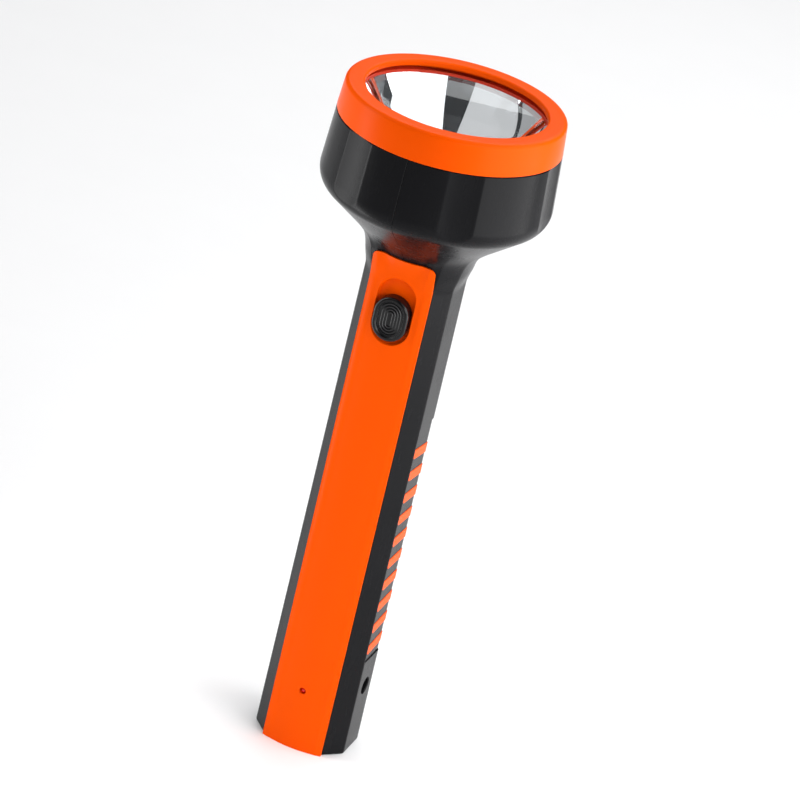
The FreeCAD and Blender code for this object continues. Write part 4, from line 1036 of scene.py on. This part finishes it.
class TORCH_OT_inner(bpy.types.Operator):
    """Give every carried-over piece its own finish"""

    bl_idname = "torch.inner"
    bl_label = "Inner pieces"

    def execute(self, context):
        steel = metal("plated_steel", (0.62, 0.62, 0.63), 0.26)
        brass = metal("contact_brass", (0.72, 0.50, 0.20), 0.24)
        finishes = {
            "lens_gasket": moulded("seal_rubber", (0.7, 0.035, 0.004), 0.55, 2.0, 0.05),
            "lamp_heat_sink": metal("heat_sink_metal", (0.58, 0.59, 0.61), 0.34, (1.0, 0.1, 1.0)),
            "lamp_board": moulded("board_white", (0.80, 0.81, 0.80), 0.35, 0.5, 0.02),
            "switch_slider": moulded("white_plastic", (0.72, 0.71, 0.68), 0.45),
            "main_board": moulded("board_green", (0.015, 0.15, 0.06), 0.28, 0.6, 0.12, 0.3),
            "charge_indicator": indicator_red(),
            "battery_cell": moulded("cell_wrap", (0.03, 0.16, 0.40), 0.24, 0.6, 0.04, 0.2),
            "battery_cradle": moulded("cradle_plastic", (0.05, 0.05, 0.055), 0.5),
        }
        groups = (
            (steel, "lamp_screws body_screws switch_screws board_screws socket_centre_pin"
                    " battery_spring battery_plate"),
            (brass, "switch_contact switch_terminals"),
            (moulded("component_black", (0.018, 0.018, 0.02), 0.42),
             "charge_controller board_components charging_socket"),
            (moulded("housing_black", (0.012, 0.012, 0.013), 0.35), "switch_housing"),
            (moulded("lead_red", (0.50, 0.015, 0.012), 0.4),
             "lamp_lead_live switch_lead battery_lead_positive"),
            (moulded("lead_black", (0.014, 0.014, 0.014), 0.4), "lamp_lead_return battery_lead_negative"))
        for material, nodes in groups:
            finishes.update(dict.fromkeys(nodes.split(), material))
        shown = {name for name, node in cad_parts.items() if not node.hide_render}
        if shown != set(finishes):
            raise RuntimeError("finishes and shown nodes differ: %s" % sorted(shown ^ set(finishes)))
        for name, material in finishes.items():
            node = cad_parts[name]
            node.data.materials.clear()
            node.data.materials.append(material)
        return {"FINISHED"}


class TORCH_OT_stage(bpy.types.Operator):
    """Lay the floor, hang the lights and set the camera"""

    bl_idname = "torch.stage"
    bl_label = "Stage"

    def execute(self, context):
        _, _, stage = settings()
        scene = context.scene
        scene.view_settings.view_transform = "Standard"
        self.floor(stage)
        self.lights(scene, stage)
        self.camera(scene, stage)
        return {"FINISHED"}

    def floor(self, stage):
        half = stage.floor_size
        paint = Paint("floor_paper")
        fibre = paint.noise(30.0, 4.0)
        tone = paint.tint(fibre, shift(stage.floor_colour, -0.01), shift(stage.floor_colour, 0.01))
        material = paint.finish(Base_Color=tone, Roughness=0.9)
        mesh = bpy.data.meshes.new("floor")
        level = -0.02 * MM
        mesh.from_pydata([(-half, -half, level), (half, -half, level), (half, half, level),
                          (-half, half, level)], [], [(0, 1, 2, 3)])
        mesh.materials.append(material)
        floor = bpy.data.objects.new("floor", mesh)
        bpy.context.scene.collection.objects.link(floor)

    def lights(self, scene, stage):
        world = bpy.data.worlds.new("studio")
        scene.world = world
        world.use_nodes = True
        world.node_tree.nodes["Background"].inputs["Color"].default_value = (0.92, 0.95, 1.0, 1)
        world.node_tree.nodes["Background"].inputs["Strength"].default_value = 0.05
        for name, place, aim, width, height, glow in (
                ("front_low", (1.4344, -1.5930, 0.6449), (0, 0, 0.15), 1.2, 0.5, 5.2),
                ("back_top", (-0.0426, 0.9588, 1.1478), (0, 0.35, 0), 1.5, 1.0, 2.9),
                ("side_right", (0.46, -0.02, 0.27), (0, 0, 0.27), 0.6, 0.54, 3.2),
                ("strip_left", (-0.153, -0.0745, 0.17), (0, 0, 0.17), 0.05, 0.34, 5.0),
                ("side_left", (-0.55, 0, 0.25), (0, 0, 0.25), 0.4, 0.5, 0.4)):
            facing = (Vector(aim) - Vector(place)).to_track_quat("-Z", "Y")
            self.soft_box(scene, name, place, facing, width, height, glow)
        # two ceiling panels whose inner edges open towards the camera
        away = stage.camera_azimuth - math.pi / 2
        ahead = Vector((math.cos(away), math.sin(away), 0))
        right = Vector((-ahead.y, ahead.x, 0))
        for name, side, glow in (("ceiling_right", 1, 1.45), ("ceiling_left", -1, 0.65)):
            place = ahead * 0.725 + right * side * 1.6 + Vector((0, 0, 1.6))
            facing = Matrix.Rotation(away + side * math.radians(15.6), 4, "Z").to_quaternion()
            self.soft_box(scene, name, place, facing, 3.0, 2.5, glow)

    def soft_box(self, scene, name, place, facing, width, height, glow):
        """A rectangular light of an even brightness."""
        light = bpy.data.lights.new(name, "AREA")
        light.shape = "RECTANGLE"
        light.size = width
        light.size_y = height
        light.energy = glow * math.pi * width * height
        lamp = bpy.data.objects.new(name, light)
        lamp.location = place
        lamp.rotation_mode = "QUATERNION"
        lamp.rotation_quaternion = facing
        lamp.visible_camera = False
        scene.collection.objects.link(lamp)

    def camera(self, scene, stage):
        turn = stage.camera_azimuth
        right = Vector((math.cos(turn), math.sin(turn), 0))
        reach = stage.camera_reach
        place = Vector((math.sin(turn) * reach, -math.cos(turn) * reach, stage.camera_height))
        aim = right * stage.aim_right + Vector((0, 0, stage.aim_height))
        back = (place - aim).normalized()
        up = back.cross(right).normalized()
        right = up.cross(back)
        roll = stage.camera_roll
        image_right = right * math.cos(roll) + up * math.sin(roll)
        image_up = up * math.cos(roll) - right * math.sin(roll)
        data = bpy.data.cameras.new("camera")
        data.lens = stage.lens
        data.sensor_width = 36
        data.clip_start = 0.05
        data.clip_end = 50
        camera = bpy.data.objects.new("camera", data)
        turned_to = Matrix((image_right, image_up, back)).transposed()
        camera.matrix_world = Matrix.Translation(place) @ turned_to.to_4x4()
        scene.collection.objects.link(camera)
        scene.camera = camera


class TORCH_PT_panel(bpy.types.Panel):
    """The torch's operators in the sidebar"""

    bl_idname = "TORCH_PT_panel"
    bl_label = "Hand torch"
    bl_space_type = "VIEW_3D"
    bl_region_type = "UI"
    bl_category = "Torch"

    def draw(self, context):
        for operator in OPERATORS:
            self.layout.operator(operator.bl_idname)


OPERATORS = (TORCH_OT_shells, TORCH_OT_panel, TORCH_OT_knob, TORCH_OT_bezel, TORCH_OT_optics,
             TORCH_OT_grips, TORCH_OT_inner, TORCH_OT_stage)
GROUPS = {"torch_sizes": TorchSizes, "torch_colours": TorchColours, "torch_stage": TorchStage}
CLASSES = (*GROUPS.values(), *OPERATORS, TORCH_PT_panel)


def register():
    for made in CLASSES:
        bpy.utils.register_class(made)
    for name, group in GROUPS.items():
        setattr(bpy.types.Scene, name, bpy.props.PointerProperty(type=group))


def unregister():
    for name in GROUPS:
        delattr(bpy.types.Scene, name)
    for made in reversed(CLASSES):
        bpy.utils.unregister_class(made)


def main():
    register()
    bpy.ops.torch.shells()
    bpy.ops.torch.panel()
    bpy.ops.torch.knob()
    bpy.ops.torch.bezel()
    bpy.ops.torch.optics()
    bpy.ops.torch.grips()
    bpy.ops.torch.inner()
    bpy.ops.torch.stage()


if __name__ == "__main__":
    main()
